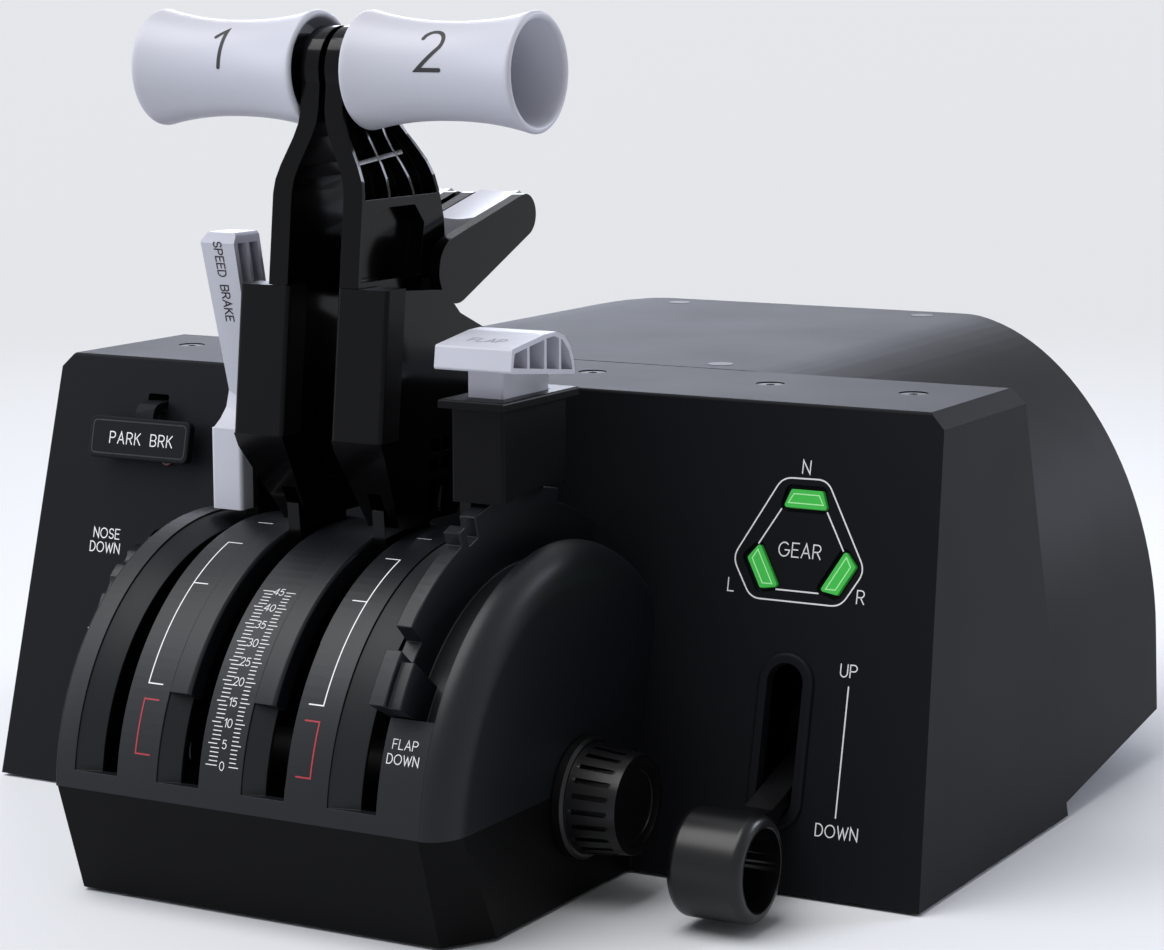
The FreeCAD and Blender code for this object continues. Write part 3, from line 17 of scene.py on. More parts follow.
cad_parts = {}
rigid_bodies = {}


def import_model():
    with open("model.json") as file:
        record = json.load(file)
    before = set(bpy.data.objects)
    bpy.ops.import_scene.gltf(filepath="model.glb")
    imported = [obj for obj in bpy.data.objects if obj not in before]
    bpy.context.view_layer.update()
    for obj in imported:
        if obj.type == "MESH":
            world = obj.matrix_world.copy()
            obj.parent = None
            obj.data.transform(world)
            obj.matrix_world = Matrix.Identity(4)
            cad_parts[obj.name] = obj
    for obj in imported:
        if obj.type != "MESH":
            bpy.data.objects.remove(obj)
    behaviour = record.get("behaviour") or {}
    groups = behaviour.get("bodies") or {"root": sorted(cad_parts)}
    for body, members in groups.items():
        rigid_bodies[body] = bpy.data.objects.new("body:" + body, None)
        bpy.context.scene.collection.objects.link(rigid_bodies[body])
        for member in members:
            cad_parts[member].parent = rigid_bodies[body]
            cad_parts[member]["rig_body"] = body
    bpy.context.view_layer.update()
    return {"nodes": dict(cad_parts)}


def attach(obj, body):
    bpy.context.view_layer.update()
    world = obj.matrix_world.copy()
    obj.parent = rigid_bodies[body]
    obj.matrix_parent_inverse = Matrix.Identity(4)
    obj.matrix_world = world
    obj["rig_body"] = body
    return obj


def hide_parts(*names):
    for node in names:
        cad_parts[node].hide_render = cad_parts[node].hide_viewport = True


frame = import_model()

MM = 0.001
print("the frame holds", len(frame["nodes"]), "nodes")

# %% [markdown]
# ## One shift to the frame
# A maker measures from an edge of the object, here the middle of the housing's bottom front edge, in
# millimetres. The solids stand in the frame moved forward by 86.4 mm and up by 1 mm, in metres. Every place
# could be typed in metres, but one shift keeps the numbers readable.

# %% Design places
SHIFT = np.array([0.0, -86.4, 1.0])
PLATE_LEAN = math.radians(12.5)
AXLE = np.array([0.0, -28.1, 28.1])
ARC_RADIUS = 71.1


def to_frame(points):
    """Design millimetres to frame metres: add the shift, then divide by 1000."""
    return (np.asarray(points, dtype=float) + SHIFT) * MM


def body_of(node):
    """The moving body that a solid of the frame belongs to."""
    return frame["nodes"][node]["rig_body"]


def add_object(name, points, faces, body, material, smooth=True):
    """A mesh object from points in frame metres and faces, riding on one body."""
    mesh = bpy.data.meshes.new(name)
    mesh.from_pydata(np.asarray(points).tolist(), [], [list(map(int, face)) for face in faces])
    mesh.update()
    if smooth:
        mesh.shade_smooth()
    obj = bpy.data.objects.new(name, mesh)
    bpy.context.scene.collection.objects.link(obj)
    mesh.materials.append(material)
    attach(obj, body)
    return obj


print("the lever axle lies at", to_frame(AXLE).round(4), "m")

# %% [markdown]
# ## Colours and nodes
# A colour is picked as an sRGB hex value, as on a paint chart, but a shader counts in linear light. One
# function turns the first into the second. A second one adds a node with its settings and links, so that a
# material reads as a short list.

# %% Colour and node helpers
def linear(hex_colour):
    """sRGB hex to linear RGBA: divided by 12.92 low down, ((v + 0.055) / 1.055) to the power 2.4 above."""
    values = [int(hex_colour[k:k + 2], 16) / 255 for k in (1, 3, 5)]
    return tuple(v / 12.92 if v <= 0.04045 else ((v + 0.055) / 1.055) ** 2.4 for v in values) + (1.0,)


def add_node(tree, kind, settings=None, inputs=None, links=None):
    """A shader node: attributes from settings, values from inputs, links as {input: output socket}."""
    node = tree.nodes.new(kind)
    for key, value in (settings or {}).items():
        setattr(node, key, value)
    for key, value in (inputs or {}).items():
        node.inputs[key].default_value = value
    for key, socket in (links or {}).items():
        tree.links.new(socket, node.inputs[key])
    return node


print("mid grey #808080 is", round(linear("#808080")[0], 3), "in linear light")

# %% [markdown]
# ## A moulded finish
# Nearly every piece is injection moulded. Its skin copies the tool: a fine grain, or a polish. It also
# varies slowly across the piece where the melt cooled at different speeds, and where hands have rubbed it.
# The grain could be a picture, but noise in object coordinates has a size in millimetres and no seams. Real
# tool grain is about 0.1 mm. It is drawn at 0.5 mm and up, because a finer one can't show from this far
# away.

# %% Finish function
CLOUD_MM = 45.0
CLOUD_TINT = 1.05
GRAIN_RELIEF = 0.05


def add_clouds(tree, shader, place, colour, roughness, cloud):
    """Slow noise n: roughness moves by plus or minus cloud, the colour from 1 to 1.05 times itself."""
    clouds = add_node(tree, "ShaderNodeTexNoise", inputs={"Scale": 1 / (CLOUD_MM * MM), "Detail": 2.0},
                      links={"Vector": place})
    span = {"From Min": 0.3, "From Max": 0.7, "To Min": roughness - cloud, "To Max": roughness + cloud}
    rough = add_node(tree, "ShaderNodeMapRange", inputs=span, links={"Value": clouds.outputs["Fac"]})
    tree.links.new(rough.outputs["Result"], shader.inputs["Roughness"])
    worn = tuple(min(1.0, v * CLOUD_TINT) for v in colour[:3]) + (1.0,)
    tint = add_node(tree, "ShaderNodeMix", {"data_type": "RGBA"}, {"A": colour, "B": worn},
                    {"Factor": clouds.outputs["Fac"]})
    tree.links.new(tint.outputs["Result"], shader.inputs["Base Color"])


def add_grain(tree, shader, place, grain_mm, depth):
    """Fine noise as a bump 0.05 mm high, at a strength of depth."""
    noise = add_node(tree, "ShaderNodeTexNoise", inputs={"Scale": 1 / (grain_mm * MM), "Detail": 1.0},
                     links={"Vector": place})
    bump = add_node(tree, "ShaderNodeBump", inputs={"Strength": depth, "Distance": GRAIN_RELIEF * MM},
                    links={"Height": noise.outputs["Fac"]})
    tree.links.new(bump.outputs["Normal"], shader.inputs["Normal"])


def finish(name, hex_colour, roughness, grain_mm=0.0, grain_depth=0.0, cloud=0.015, **extra):
    """Principled surface at IOR 1.5, with clouds, with grain where it has a size, and with extra inputs."""
    material = bpy.data.materials.new(name)
    material.use_nodes = True
    tree = material.node_tree
    shader = tree.nodes["Principled BSDF"]
    shader.inputs["Roughness"].default_value = roughness
    shader.inputs["IOR"].default_value = 1.5
    for key, value in extra.items():
        shader.inputs[key.replace("_", " ")].default_value = value
    place = add_node(tree, "ShaderNodeTexCoord").outputs["Object"]
    add_clouds(tree, shader, place, linear(hex_colour), roughness, cloud)
    if grain_mm:
        add_grain(tree, shader, place, grain_mm, grain_depth)
    return material


print("grain stands", GRAIN_RELIEF, "mm high, clouds are", CLOUD_MM, "mm wide")

# %% [markdown]
# ## Black plastics
# All the shells are black, and the eye tells them apart by their gloss alone. A grained tool scatters
# light, so the housing looks flat and dark. A polished one gives the levers a thin bright line at each
# edge. One black for all would be quicker, but the pedestal would melt into the housing. A low specular
# level keeps the blacks deep under a pale room.

# %% Black plastics
# ABS moulded in a spark-eroded tool: a dull even grain, so highlights are wide and weak.
housing_black = finish("abs_spark_eroded_black", "#0c0d11", 0.58, 0.6, 0.3, Specular_IOR_Level=0.11)
# ABS moulded in a finely blasted tool: satin, so the curved covers show a soft bluish gradient.
pedestal_black = finish("abs_satin_blue_black", "#0e1014", 0.4, 0.5, 0.15, Specular_IOR_Level=0.3)
# ABS moulded in a coarsely blasted tool: almost no highlight, so the base is the darkest shell.
base_black = finish("abs_matt_black", "#060607", 0.5, 0.6, 0.25, Specular_IOR_Level=0.08)
# ABS moulded in a polished tool: near black, with the room mirrored where a face turns away.
gloss_black = finish("abs_polished_black", "#040405", 0.13, cloud=0.02, Specular_IOR_Level=0.16)
# ABS moulded in a satin tool: as dark as the levers, but its reflections are blurred.
shroud_black = finish("abs_satin_black", "#060607", 0.4, 0.5, 0.15, Specular_IOR_Level=0.1)
# Nylon, moulded satin: the parts that fingers turn, with a clear soft highlight along their ribs.
fitting_black = finish("nylon_satin_black", "#08080a", 0.3, 0.5, 0.1, Specular_IOR_Level=0.35)
# Nylon, cut from sheet and oiled: the dark friction discs.
black_nylon = finish("oiled_black_nylon", "#0a0a0b", 0.5, Specular_IOR_Level=0.2)
print("black plastics:", housing_black.name, "to", black_nylon.name)

# %% [markdown]
# ## Pale plastic, metal, rubber and board
# The grips, the handles and the reverse pads are the only pale pieces, and a cool grey with a low gloss
# makes them stand out. A pure white would clip under the same light. The rest are small parts that show at
# a gap, behind a slot, or on the underside.

# %% Pale plastic, metal, rubber and board
# ABS, pale grey, moulded in a fine satin tool: smooth round shading, with a faint wide highlight.
grip_grey = finish("abs_pale_grey", "#bfc0ca", 0.4, 0.5, 0.08, Specular_IOR_Level=0.4)
# Polyethylene plugs, moulded dull: a shade lighter than the housing that they close.
plug_black = finish("plug_grey", "#26272a", 0.5, Specular_IOR_Level=0.2)
# Steel, turned and left bare: bright, with blurred reflections.
steel = finish("turned_steel", "#a8a9ab", 0.3, Metallic=1.0)
# Steel, chemically blackened: dark and dull, because the oxide layer hides the metal.
black_steel = finish("blackened_steel", "#0b0b0d", 0.5, Specular_IOR_Level=0.2)
# Rubber, moulded: very dull dark grey.
rubber = finish("moulded_rubber", "#141414", 0.8)
# Epoxy solder mask on a fibreglass board: dark green, half glossy.
board_green = finish("solder_mask_green", "#12402a", 0.4)
print("pale plastic, metal, rubber and board:", grip_grey.name, "to", board_green.name)

# %% [markdown]
# ## Inks and lenses
# The legends are pad printed: a silicone pad lays down ink a few hundredths of a millimetre thick, flat and
# dull. The lamp lenses are clear coloured plastic with light behind. Real transmission would show what is
# in the housing behind them, so a coloured surface with a little emission gives the lit look instead.

# %% Inks and lenses
# Pad printing ink, white: dull and opaque.
print_white = finish("pad_print_white", "#e6e6e8", 0.6)
# Pad printing ink, dark red: the brackets of the reverse range.
print_red = finish("pad_print_red", "#a02a35", 0.6)
# Pad printing ink, near black: the figures and words on the pale plastic.
print_dark = finish("pad_print_dark", "#17181a", 0.6)
# Pad printing ink, mid grey: a quiet word on the flap handle.
print_grey = finish("pad_print_grey", "#8d8e97", 0.6)
# Polycarbonate, dark red, moulded in a polished tool: an unlit lamp with a sharp highlight.
lamp_red = finish("polycarbonate_red", "#3a0a0d", 0.15)
# Polycarbonate, green, moulded in a polished tool and lit from behind.
lamp_green = finish("polycarbonate_green", "#2fae3c", 0.18, Emission_Color=linear("#4fd65a"),
                    Emission_Strength=0.15)
# Polycarbonate, green: the slanted facet inside each lens, where the light gathers.
lens_bright = finish("polycarbonate_bright_facet", "#8ff08f", 0.2, Emission_Strength=0.1)
print("materials made:", len(bpy.data.materials))

# %% [markdown]
# ## A slimmer left side for the pedestal
# The left cover of the real pedestal bulges by only a couple of millimetres past the arc cover, and the
# base below follows it. The solids bulge further. The two could be modelled again, but a function of the
# place draws their copies in, and leaves all that lies right of the arc cover's edge where it was.

# %% Slimmer left side
COVER_LEFT = -57.0
COVER_REACH = 0.2
BASE_FROM, BASE_SEAM = 12.0, 31.6
BASE_CUT, BASE_POWER = 0.76, 1.5


def slimmer_cover(points):
    """Left cover: its reach to the left of the arc cover's edge is a fifth of what it was."""
    x = points[:, 0]
    points[:, 0] = np.where(x < COVER_LEFT, COVER_LEFT + (x - COVER_LEFT) * COVER_REACH, x)
    return points


def slimmer_base(points):
    """Base: with h from 0 at 12 mm up to 1 at the seam, the left reach is 1 - 0.76 h^1.5 of what it was."""
    x = points[:, 0]
    rise = np.clip((points[:, 2] - BASE_FROM) / (BASE_SEAM - BASE_FROM), 0, 1) ** BASE_POWER
    points[:, 0] = np.where(x < COVER_LEFT, COVER_LEFT + (x - COVER_LEFT) * (1 - BASE_CUT * rise), x)
    return points


def reshape_mesh(mesh, change):
    """Move all points of a mesh by a function of design millimetres."""
    flat = np.empty(len(mesh.vertices) * 3)
    mesh.vertices.foreach_get("co", flat)
    points = change(flat.reshape(-1, 3) / MM - SHIFT)
    mesh.vertices.foreach_set("co", to_frame(points).ravel())
    mesh.update()


reshaped = {"left_side_cover": slimmer_cover, "pedestal_base": slimmer_base}
print("reshaped:", ", ".join(reshaped))

# %% [markdown]
# ## Dressed copies of the solids
# A moulded edge is never razor sharp: a radius from a few tenths of a millimetre up to one catches the light
# and shows where a face ends. It could be faked in the shader, but real geometry also shows in the outline.
# A copy of each solid has its loose triangles joined, a Bevel modifier rounds its edges by angle, and
# weighted normals keep the large faces flat.

# %% Dressing function
JOIN_MM = 0.002
LONG_EDGE, LONG_CUTS = 12.0, 5
EDGE_ANGLE = math.radians(32)
BEVEL_SEGMENTS = 2
LARGE_FACE_WEIGHT = 80


def joined_copy(node):
    """The solid's triangles joined into one mesh; the base is cut finer, so that it can be reshaped."""
    work = bmesh.new()
    work.from_mesh(frame["nodes"][node].data)
    bmesh.ops.remove_doubles(work, verts=work.verts, dist=JOIN_MM * MM)
    if node == "pedestal_base":
        long_edges = [edge for edge in work.edges if edge.calc_length() > LONG_EDGE * MM]
        bmesh.ops.subdivide_edges(work, edges=long_edges, cuts=LONG_CUTS)
        bmesh.ops.triangulate(work, faces=work.faces)
    mesh = bpy.data.meshes.new(node + "_skin")
    work.to_mesh(mesh)
    work.free()
    return mesh


def dressed(node, material, round_mm):
    """A smooth-shaded copy of a solid with rounded edges; it stands in for the node."""
    mesh = joined_copy(node)
    if node in reshaped:
        reshape_mesh(mesh, reshaped[node])
    mesh.materials.clear()
    mesh.materials.append(material)
    mesh.shade_smooth()
    mesh.set_sharp_from_angle(angle=EDGE_ANGLE)
    obj = bpy.data.objects.new(node + "_skin", mesh)
    bpy.context.scene.collection.objects.link(obj)
    if round_mm:
        bevel = obj.modifiers.new("rounding", "BEVEL")
        bevel.width = round_mm * MM
        bevel.segments = BEVEL_SEGMENTS
        bevel.limit_method = "ANGLE"
        bevel.angle_limit = EDGE_ANGLE
        bevel.miter_outer = "MITER_ARC"
    evened = obj.modifiers.new("even_shading", "WEIGHTED_NORMAL")
    evened.keep_sharp = True
    evened.weight = LARGE_FACE_WEIGHT
    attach(obj, body_of(node))
    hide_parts(node)


# %% Pieces that show, with their edge radius in millimetres
finishes = {
    housing_black: {"front_housing": 0.8, "rear_housing": 0.8, "gear_bezel": 0.2, "park_brake_lever": 0.2},
    fitting_black: {"gear_lever": 0.8, "gear_wheel": 0.0, "trim_wheel": 0.3, "tension_knob": 0.3,
                    "tension_knob_cap": 0.2},
    base_black: {"pedestal_base": 1.0},
    pedestal_black: {"arc_cover": 0.4, "left_side_cover": 0.0, "right_side_cover": 0.0, "slot_guide_1": 0.3,
                     "slot_guide_2": 0.3, "flap_gate": 0.4},
    gloss_black: {"thrust_arm_1": 0.4, "thrust_arm_2": 0.4, "thrust_body_1": 0.4, "thrust_body_2": 0.4,
                  "reverse_lever_1": 0.5, "reverse_lever_2": 0.5, "speed_brake_arm": 0.2, "flap_arm": 0.3},
    shroud_black: {"thrust_shroud_1": 0.3, "thrust_shroud_2": 0.3, "flap_column": 0.4},
    grip_grey: {"reverse_pad_1": 0.4, "reverse_pad_2": 0.4, "speed_brake_handle": 0.5, "flap_handle": 0.4},
    lamp_green: {"gear_lamps": 0.7},
    lamp_red: {"park_brake_lamp": 0.2},
}
for material, pieces in finishes.items():
    for node, radius in pieces.items():
        dressed(node, material, radius)
print("dressed pieces:", sum(len(pieces) for pieces in finishes.values()))

# %% [markdown]
# ## Hidden and small pieces
# Floors, brackets, boards, pins and feet hardly show. A copy with rounded edges would cost triangles for
# nothing, so these solids stay as they are and only get their material.

# %% Plain finishes
plain_finishes = {
    housing_black: ("rear_floor", "base_plate", "pedestal_floor", "gear_bracket", "trim_bracket",
                    "park_brake_bracket", "bearing_plate_left", "bearing_plate_right"),
    plug_black: ("top_plugs",),
    black_steel: ("housing_screws", "reverse_pin_1", "reverse_pin_2", "lever_axle", "axle_spacers"),
    steel: ("usb_socket", "gear_pin", "trim_axle", "park_brake_pin"),
    rubber: ("rubber_feet",),
    board_green: ("main_board", "lamp_board"),
    black_nylon: ("friction_discs",),
}
for material, nodes in plain_finishes.items():
    for node in nodes:
        frame["nodes"][node].material_slots[0].material = material
print("plain pieces:", sum(len(nodes) for nodes in plain_finishes.values()))

# %% [markdown]
# ## Thrust grips
# Each grip is one thin moulded spool, open at both ends, with a cross wall inside that the lever carries. A
# cylinder could be pulled in at its waist, but a turned section gives the wall, the round lips and the
# waist from one formula.

# %% Section of a grip
LEVER_MID = -1.9
GRIP_CENTRE = np.array([0.0, -32.0, 227.6])
GRIP_ENDS = (8.0, 62.1)
GRIP_LENGTH = GRIP_ENDS[1] - GRIP_ENDS[0]
GRIP_RADIUS, GRIP_WAIST, GRIP_WALL = 16.8, 13.5, 2.2
WAIST_POWER = 2.2
LIP_PART, LIP_INSET = 0.02, 0.25
WEB_FROM, WEB_TO = 7.0, 9.4
WEB_SUNK, WEB_CORE = 0.3, 0.01


def spool_radius(t):
    """Outside radius at fraction t of the length: waist + (end - waist) times |2t - 1| to the power 2.2."""
    return GRIP_WAIST + (GRIP_RADIUS - GRIP_WAIST) * np.abs(2 * t - 1) ** WAIST_POWER


def grip_profile():
    """Section (x, r) of the grip: outer curve, half-round lip, inner curve a wall further in, lip again."""
    near, far = GRIP_ENDS
    t = np.linspace(LIP_PART, 1 - LIP_PART, 49)
    a = np.radians(np.linspace(90, -90, 9)[1:-1])
    half = GRIP_WALL / 2
    lip_r = GRIP_RADIUS - half - LIP_INSET
    outer = np.stack([near + GRIP_LENGTH * t, spool_radius(t)], axis=1)
    inner = np.stack([near + GRIP_LENGTH * t, spool_radius(t) - GRIP_WALL], axis=1)[::-1]
    far_lip = np.stack([far - half + half * np.cos(a), lip_r + half * np.sin(a)], axis=1)
    near_lip = np.stack([near + half - half * np.cos(a), lip_r - half * np.sin(a)], axis=1)
    return np.concatenate([outer, far_lip, inner, near_lip])


def web_profile():
    """Section (x, r) of the cross wall: a rectangle from the grip's axis to just inside its wall."""
    rim = spool_radius((WEB_FROM + WEB_TO) / 2 / GRIP_LENGTH) - GRIP_WALL + WEB_SUNK
    near, far = GRIP_ENDS[0] + WEB_FROM, GRIP_ENDS[0] + WEB_TO
    return np.array([(near, WEB_CORE), (near, rim), (far, rim), (far, WEB_CORE)])


print("a grip's section has", len(grip_profile()), "points")

# %% Turn the grips
TURNS = 144
LIP_ANGLE = math.radians(40)


def lathe(x, r, centre):
    """A closed section (x, r) turned about the X line through centre: y = cy - r cos a, z = cz + r sin a."""
    a = np.linspace(0, 2 * math.pi, TURNS, endpoint=False)[:, None]
    across = np.broadcast_to(x, (TURNS, len(x)))
    rings = np.stack([across, centre[1] - r * np.cos(a), centre[2] + r * np.sin(a)], axis=2)
    index = np.arange(TURNS * len(x)).reshape(TURNS, len(x))
    ahead, along = np.roll(index, -1, axis=0), np.roll(index, -1, axis=1)
    faces = np.stack([index, ahead, np.roll(ahead, -1, axis=1), along], axis=2).reshape(-1, 4)
    return rings.reshape(-1, 3), faces


def turned_grip(number, side):
    """One grip, left (side -1) or right (side 1) of the levers; the mirrored one has its faces turned."""
    points, faces, base = [], [], 0
    for profile in (grip_profile(), web_profile()):
        turned, rings = lathe(LEVER_MID + side * profile[:, 0], profile[:, 1], GRIP_CENTRE)
        points.append(turned)
        faces.append(rings + base)
        base += len(turned)
    faces = np.concatenate(faces)[:, ::side]
    grip = add_object(f"grip_{number}", to_frame(np.concatenate(points)), faces, f"thrust_lever_{number}",
                      grip_grey)
    grip.data.set_sharp_from_angle(angle=LIP_ANGLE)
    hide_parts(f"thrust_knob_{number}")
    print("grip", number, "has", len(faces), "faces")


for number, side in ((1, -1), (2, 1)):
    turned_grip(number, side)

# %% [markdown]
# ## Letters as strokes
# The legends are thin lines of even width with round ends. A Text object could carry them, but its letters
# have thick and thin parts and are hard to bend round a curved cover. Here each letter is a few strokes in
# a box of cap height 1.

# %% Stroke helpers
def bend(cx, cy, rx, ry, start, stop, steps=14):
    """Points on an ellipse, from one angle to another in degrees: (cx + rx cos a, cy + ry sin a)."""
    a = np.radians(np.linspace(start, stop, steps))
    return np.stack([cx + rx * np.cos(a), cy + ry * np.sin(a)], axis=1)


def run(*points):
    """A path of straight lines through the points."""
    return np.array(points, dtype=float)


def joined(*pieces):
    """Paths placed one after another as a single path."""
    return np.concatenate([np.atleast_2d(piece) for piece in pieces])


def capitals():
    """Width and strokes of each capital in use."""
    bowl = joined(run((0, 0), (0, 1), (0.32, 1)), bend(0.32, 0.74, 0.27, 0.26, 90, -90), run((0, 0.48)))
    lower_bowl = joined(run((0.32, 0.48)), bend(0.34, 0.24, 0.27, 0.24, 90, -90), run((0, 0)))
    return {
        "A": (0.70, [run((0, 0), (0.35, 1), (0.70, 0)), run((0.12, 0.34), (0.58, 0.34))]),
        "B": (0.60, [bowl, lower_bowl]),
        "D": (0.64, [joined(run((0, 0), (0, 1), (0.24, 1)), bend(0.24, 0.5, 0.40, 0.5, 90, -90),
                            run((0, 0)))]),
        "E": (0.54, [run((0.54, 0), (0, 0), (0, 1), (0.54, 1)), run((0, 0.52), (0.46, 0.52))]),
        "F": (0.52, [run((0, 0), (0, 1), (0.52, 1)), run((0, 0.52), (0.44, 0.52))]),
        "G": (0.84, [joined(bend(0.43, 0.5, 0.43, 0.5, 48, 345, 26), run((0.86, 0.46), (0.5, 0.46)))]),
        "I": (0.0, [run((0, 0), (0, 1))]),
        "K": (0.60, [run((0, 0), (0, 1)), run((0.56, 1), (0, 0.42)), run((0.2, 0.6), (0.6, 0))]),
        "L": (0.50, [run((0, 1), (0, 0), (0.5, 0))]),
        "M": (0.76, [run((0, 0), (0, 1), (0.38, 0.3), (0.76, 1), (0.76, 0))]),
        "N": (0.64, [run((0, 0), (0, 1), (0.64, 0), (0.64, 1))]),
        "O": (0.88, [bend(0.44, 0.5, 0.44, 0.5, 90, 450, 34)]),
        "P": (0.59, [bowl]),
        "R": (0.60, [bowl, run((0.3, 0.48), (0.6, 0))]),
        "S": (0.58, [joined(bend(0.3, 0.745, 0.26, 0.255, 25, 270), bend(0.3, 0.25, 0.28, 0.24, 90, -155))]),
        "T": (0.62, [run((0, 1), (0.62, 1)), run((0.31, 1), (0.31, 0))]),
        "U": (0.62, [joined(run((0, 1)), bend(0.31, 0.32, 0.31, 0.32, 180, 360), run((0.62, 1)))]),
        "W": (0.96, [run((0, 1), (0.24, 0), (0.48, 0.85), (0.72, 0), (0.96, 1))]),
        " ": (0.55, []),
    }


def digits():
    """Width and strokes of each digit in use."""
    hook = run((0.5, 1), (0.08, 1), (0.04, 0.58))
    return {
        "0": (0.60, [bend(0.30, 0.5, 0.30, 0.5, 90, 450, 34)]),
        "1": (0.26, [run((0, 0.78), (0.24, 1), (0.24, 0))]),
        "2": (0.58, [joined(bend(0.29, 0.71, 0.28, 0.29, 165, -35), run((0, 0), (0.6, 0)))]),
        "3": (0.56, [joined(bend(0.27, 0.75, 0.25, 0.25, 150, -90),
                            bend(0.27, 0.255, 0.29, 0.255, 90, -150))]),
        "4": (0.62, [run((0.46, 0), (0.46, 1), (0, 0.28), (0.64, 0.28))]),
        "5": (0.56, [joined(hook, bend(0.26, 0.33, 0.29, 0.33, 125, -145))]),
    }


LETTERS = {**capitals(), **digits()}
print("letters and digits drawn:", len(LETTERS) - 1)

# %% [markdown]
# ## Ribbons of ink
# A stroke becomes a narrow flat ribbon: each point of its path is offset to both sides, and each open end
# gets a half circle. A curve with a bevel would do for flat print, but a plain mesh can be laid on any
# surface by a function of (u, v).

# %% Ribbons
SAME_POINT = 1e-6
CORNER_LIMIT = 0.6
END_POINTS = 7


def dense(path, step):
    """The same path with points at most one step apart, and none of them twice."""
    pieces = [path[:1]]
    for a, b in zip(path[:-1], path[1:]):
        count = max(1, int(np.ceil(np.linalg.norm(b - a) / step)))
        pieces.append(a + (b - a) * np.linspace(0, 1, count + 1)[1:, None])
    whole = np.concatenate(pieces)
    moved = np.linalg.norm(np.diff(whole, axis=0), axis=1) > SAME_POINT
    return whole[np.concatenate([[True], moved])]


def sides(path):
    """Unit vector to the left of each stretch: the stretch's direction turned by a quarter."""
    along = np.diff(path, axis=0)
    along /= np.linalg.norm(along, axis=1)[:, None]
    return np.stack([-along[:, 1], along[:, 0]], axis=1)


def round_end(centre, side, half_width, start):
    """Half circle from angle start: centre + half width times (cos a along + sin a to the side)."""
    a = np.radians(np.linspace(start, start + 180, END_POINTS))[:, None]
    along = np.array([side[1], -side[0]])
    return centre + (np.cos(a) * along + np.sin(a) * side) * half_width


def ribbon(path, width, step):
    """Flat ribbon: with s and t the sides before and after a point, its edges lie (s + t) / |s + t|^2 times
    the width to either side of it.  |s + t| stays above a limit, so that a sharp corner has no spike."""
    path = dense(path, step)
    side = sides(path)
    closed = np.linalg.norm(path[0] - path[-1]) < SAME_POINT
    before = np.vstack([side[-1:] if closed else side[:1], side])
    after = np.vstack([side, side[:1] if closed else side[-1:]])
    length = np.maximum(np.linalg.norm(before + after, axis=1), CORNER_LIMIT)[:, None]
    offset = (before + after) / length ** 2 * width
    n = len(path)
    k = np.arange(n - 1)
    points = [path + offset, path - offset]
    faces = np.stack([k, k + n, k + n + 1, k + 1], axis=1).tolist()
    if not closed:
        points += [round_end(path[0], side[0], width / 2, 90), round_end(path[-1], side[-1], width / 2, -90)]
        faces += (2 * n + np.arange(2 * END_POINTS).reshape(2, END_POINTS)).tolist()
    return np.concatenate(points), faces


def print_on(name, paths, width, surface, body, material, step=0.8):
    """All paths as ribbons on one surface, as one mesh.  surface turns (u, v) in mm into design points."""
    points, faces, base = [], [], 0
    for path in paths:
        flat, ring = ribbon(path, width, step)
        faces += [[base + k for k in face] for face in ring]
        points.append(flat)
        base += len(flat)
    flat = np.concatenate(points)
    add_object(name, to_frame(surface(flat[:, 0], flat[:, 1])), faces, body, material, smooth=False)
    print(name, "has", len(faces), "faces")


def word_paths(text, height, u, v, spacing=0.24, turn=0):
    """Stroke paths of a word with its middle at (u, v).  It may be turned by a whole number of quarters."""
    wide = sum(LETTERS[c][0] for c in text) + spacing * (len(text) - 1)
    pen, paths = 0.0, []
    for c in text:
        paths += [(stroke + [pen, 0.0] - [wide / 2, 0.5]) * height for stroke in LETTERS[c][1]]
        pen += LETTERS[c][0] + spacing
    quarter = np.round(np.array([[math.cos(turn), -math.sin(turn)], [math.sin(turn), math.cos(turn)]]), 12)
    return [path @ quarter.T + [u, v] for path in paths]


# %% [markdown]
# ## Front plate legends
# White words name the gear positions, the trim wheel and the lamps, and a rounded hexagon frames the three
# lamps. The plate leans back, so its surface function takes the height of a point and finds the slope from
# it. Ink stands 0.06 mm proud, enough that it never flickers into the plastic below.

# %% Front plate legends
INK = 0.06
PLATE_WORDS = (  # text, cap height, X and Z of its middle
    ("UP", 3.4, 132.1, 62.1), ("DOWN", 3.3, 133.2, 18.4), ("N", 3.6, 113.1, 116.4), ("L", 3.6, 93.2, 82.3),
    ("R", 3.6, 133.4, 82.3), ("GEAR", 3.8, 113.5, 93.4),
    ("NOSE", 3.0, -128.4, 78.3), ("DOWN", 3.0, -128.6, 73.9), ("TRIM", 3.0, -127.6, 47.0),
    ("NOSE", 3.0, -128.6, 20.4), ("UP", 3.0, -128.6, 16.0),
)
WORD_LINE, RULE_LINE = 0.34, 0.42
FRAME_ROUNDING = 3.0
GEAR_TRAVEL = ((132.5, 22.2), (132.5, 57.8))
GEAR_FRAME = ((106.0, 113.1), (119.9, 113.3), (133.9, 89.5), (127.6, 79.2), (99.6, 79.2), (92.9, 89.9))
GEAR_INNER = (
    ((106.6, 104.4), (100.6, 94.4)),
    ((120.8, 104.4), (126.8, 94.4)),
    ((107.4, 82.2), (120.4, 82.2)),
)


def plate_surface(lift=0.0):
    """Front plate at a lift above it: u is X, v is Z, and y = z tan(lean), moved out along the normal."""
    def place(u, v):
        up = v / math.cos(PLATE_LEAN)
        out = INK + lift
        y = up * math.sin(PLATE_LEAN) - out * math.cos(PLATE_LEAN)
        z = up * math.cos(PLATE_LEAN) + out * math.sin(PLATE_LEAN)
        return np.stack([u, y, z], axis=1)
    return place


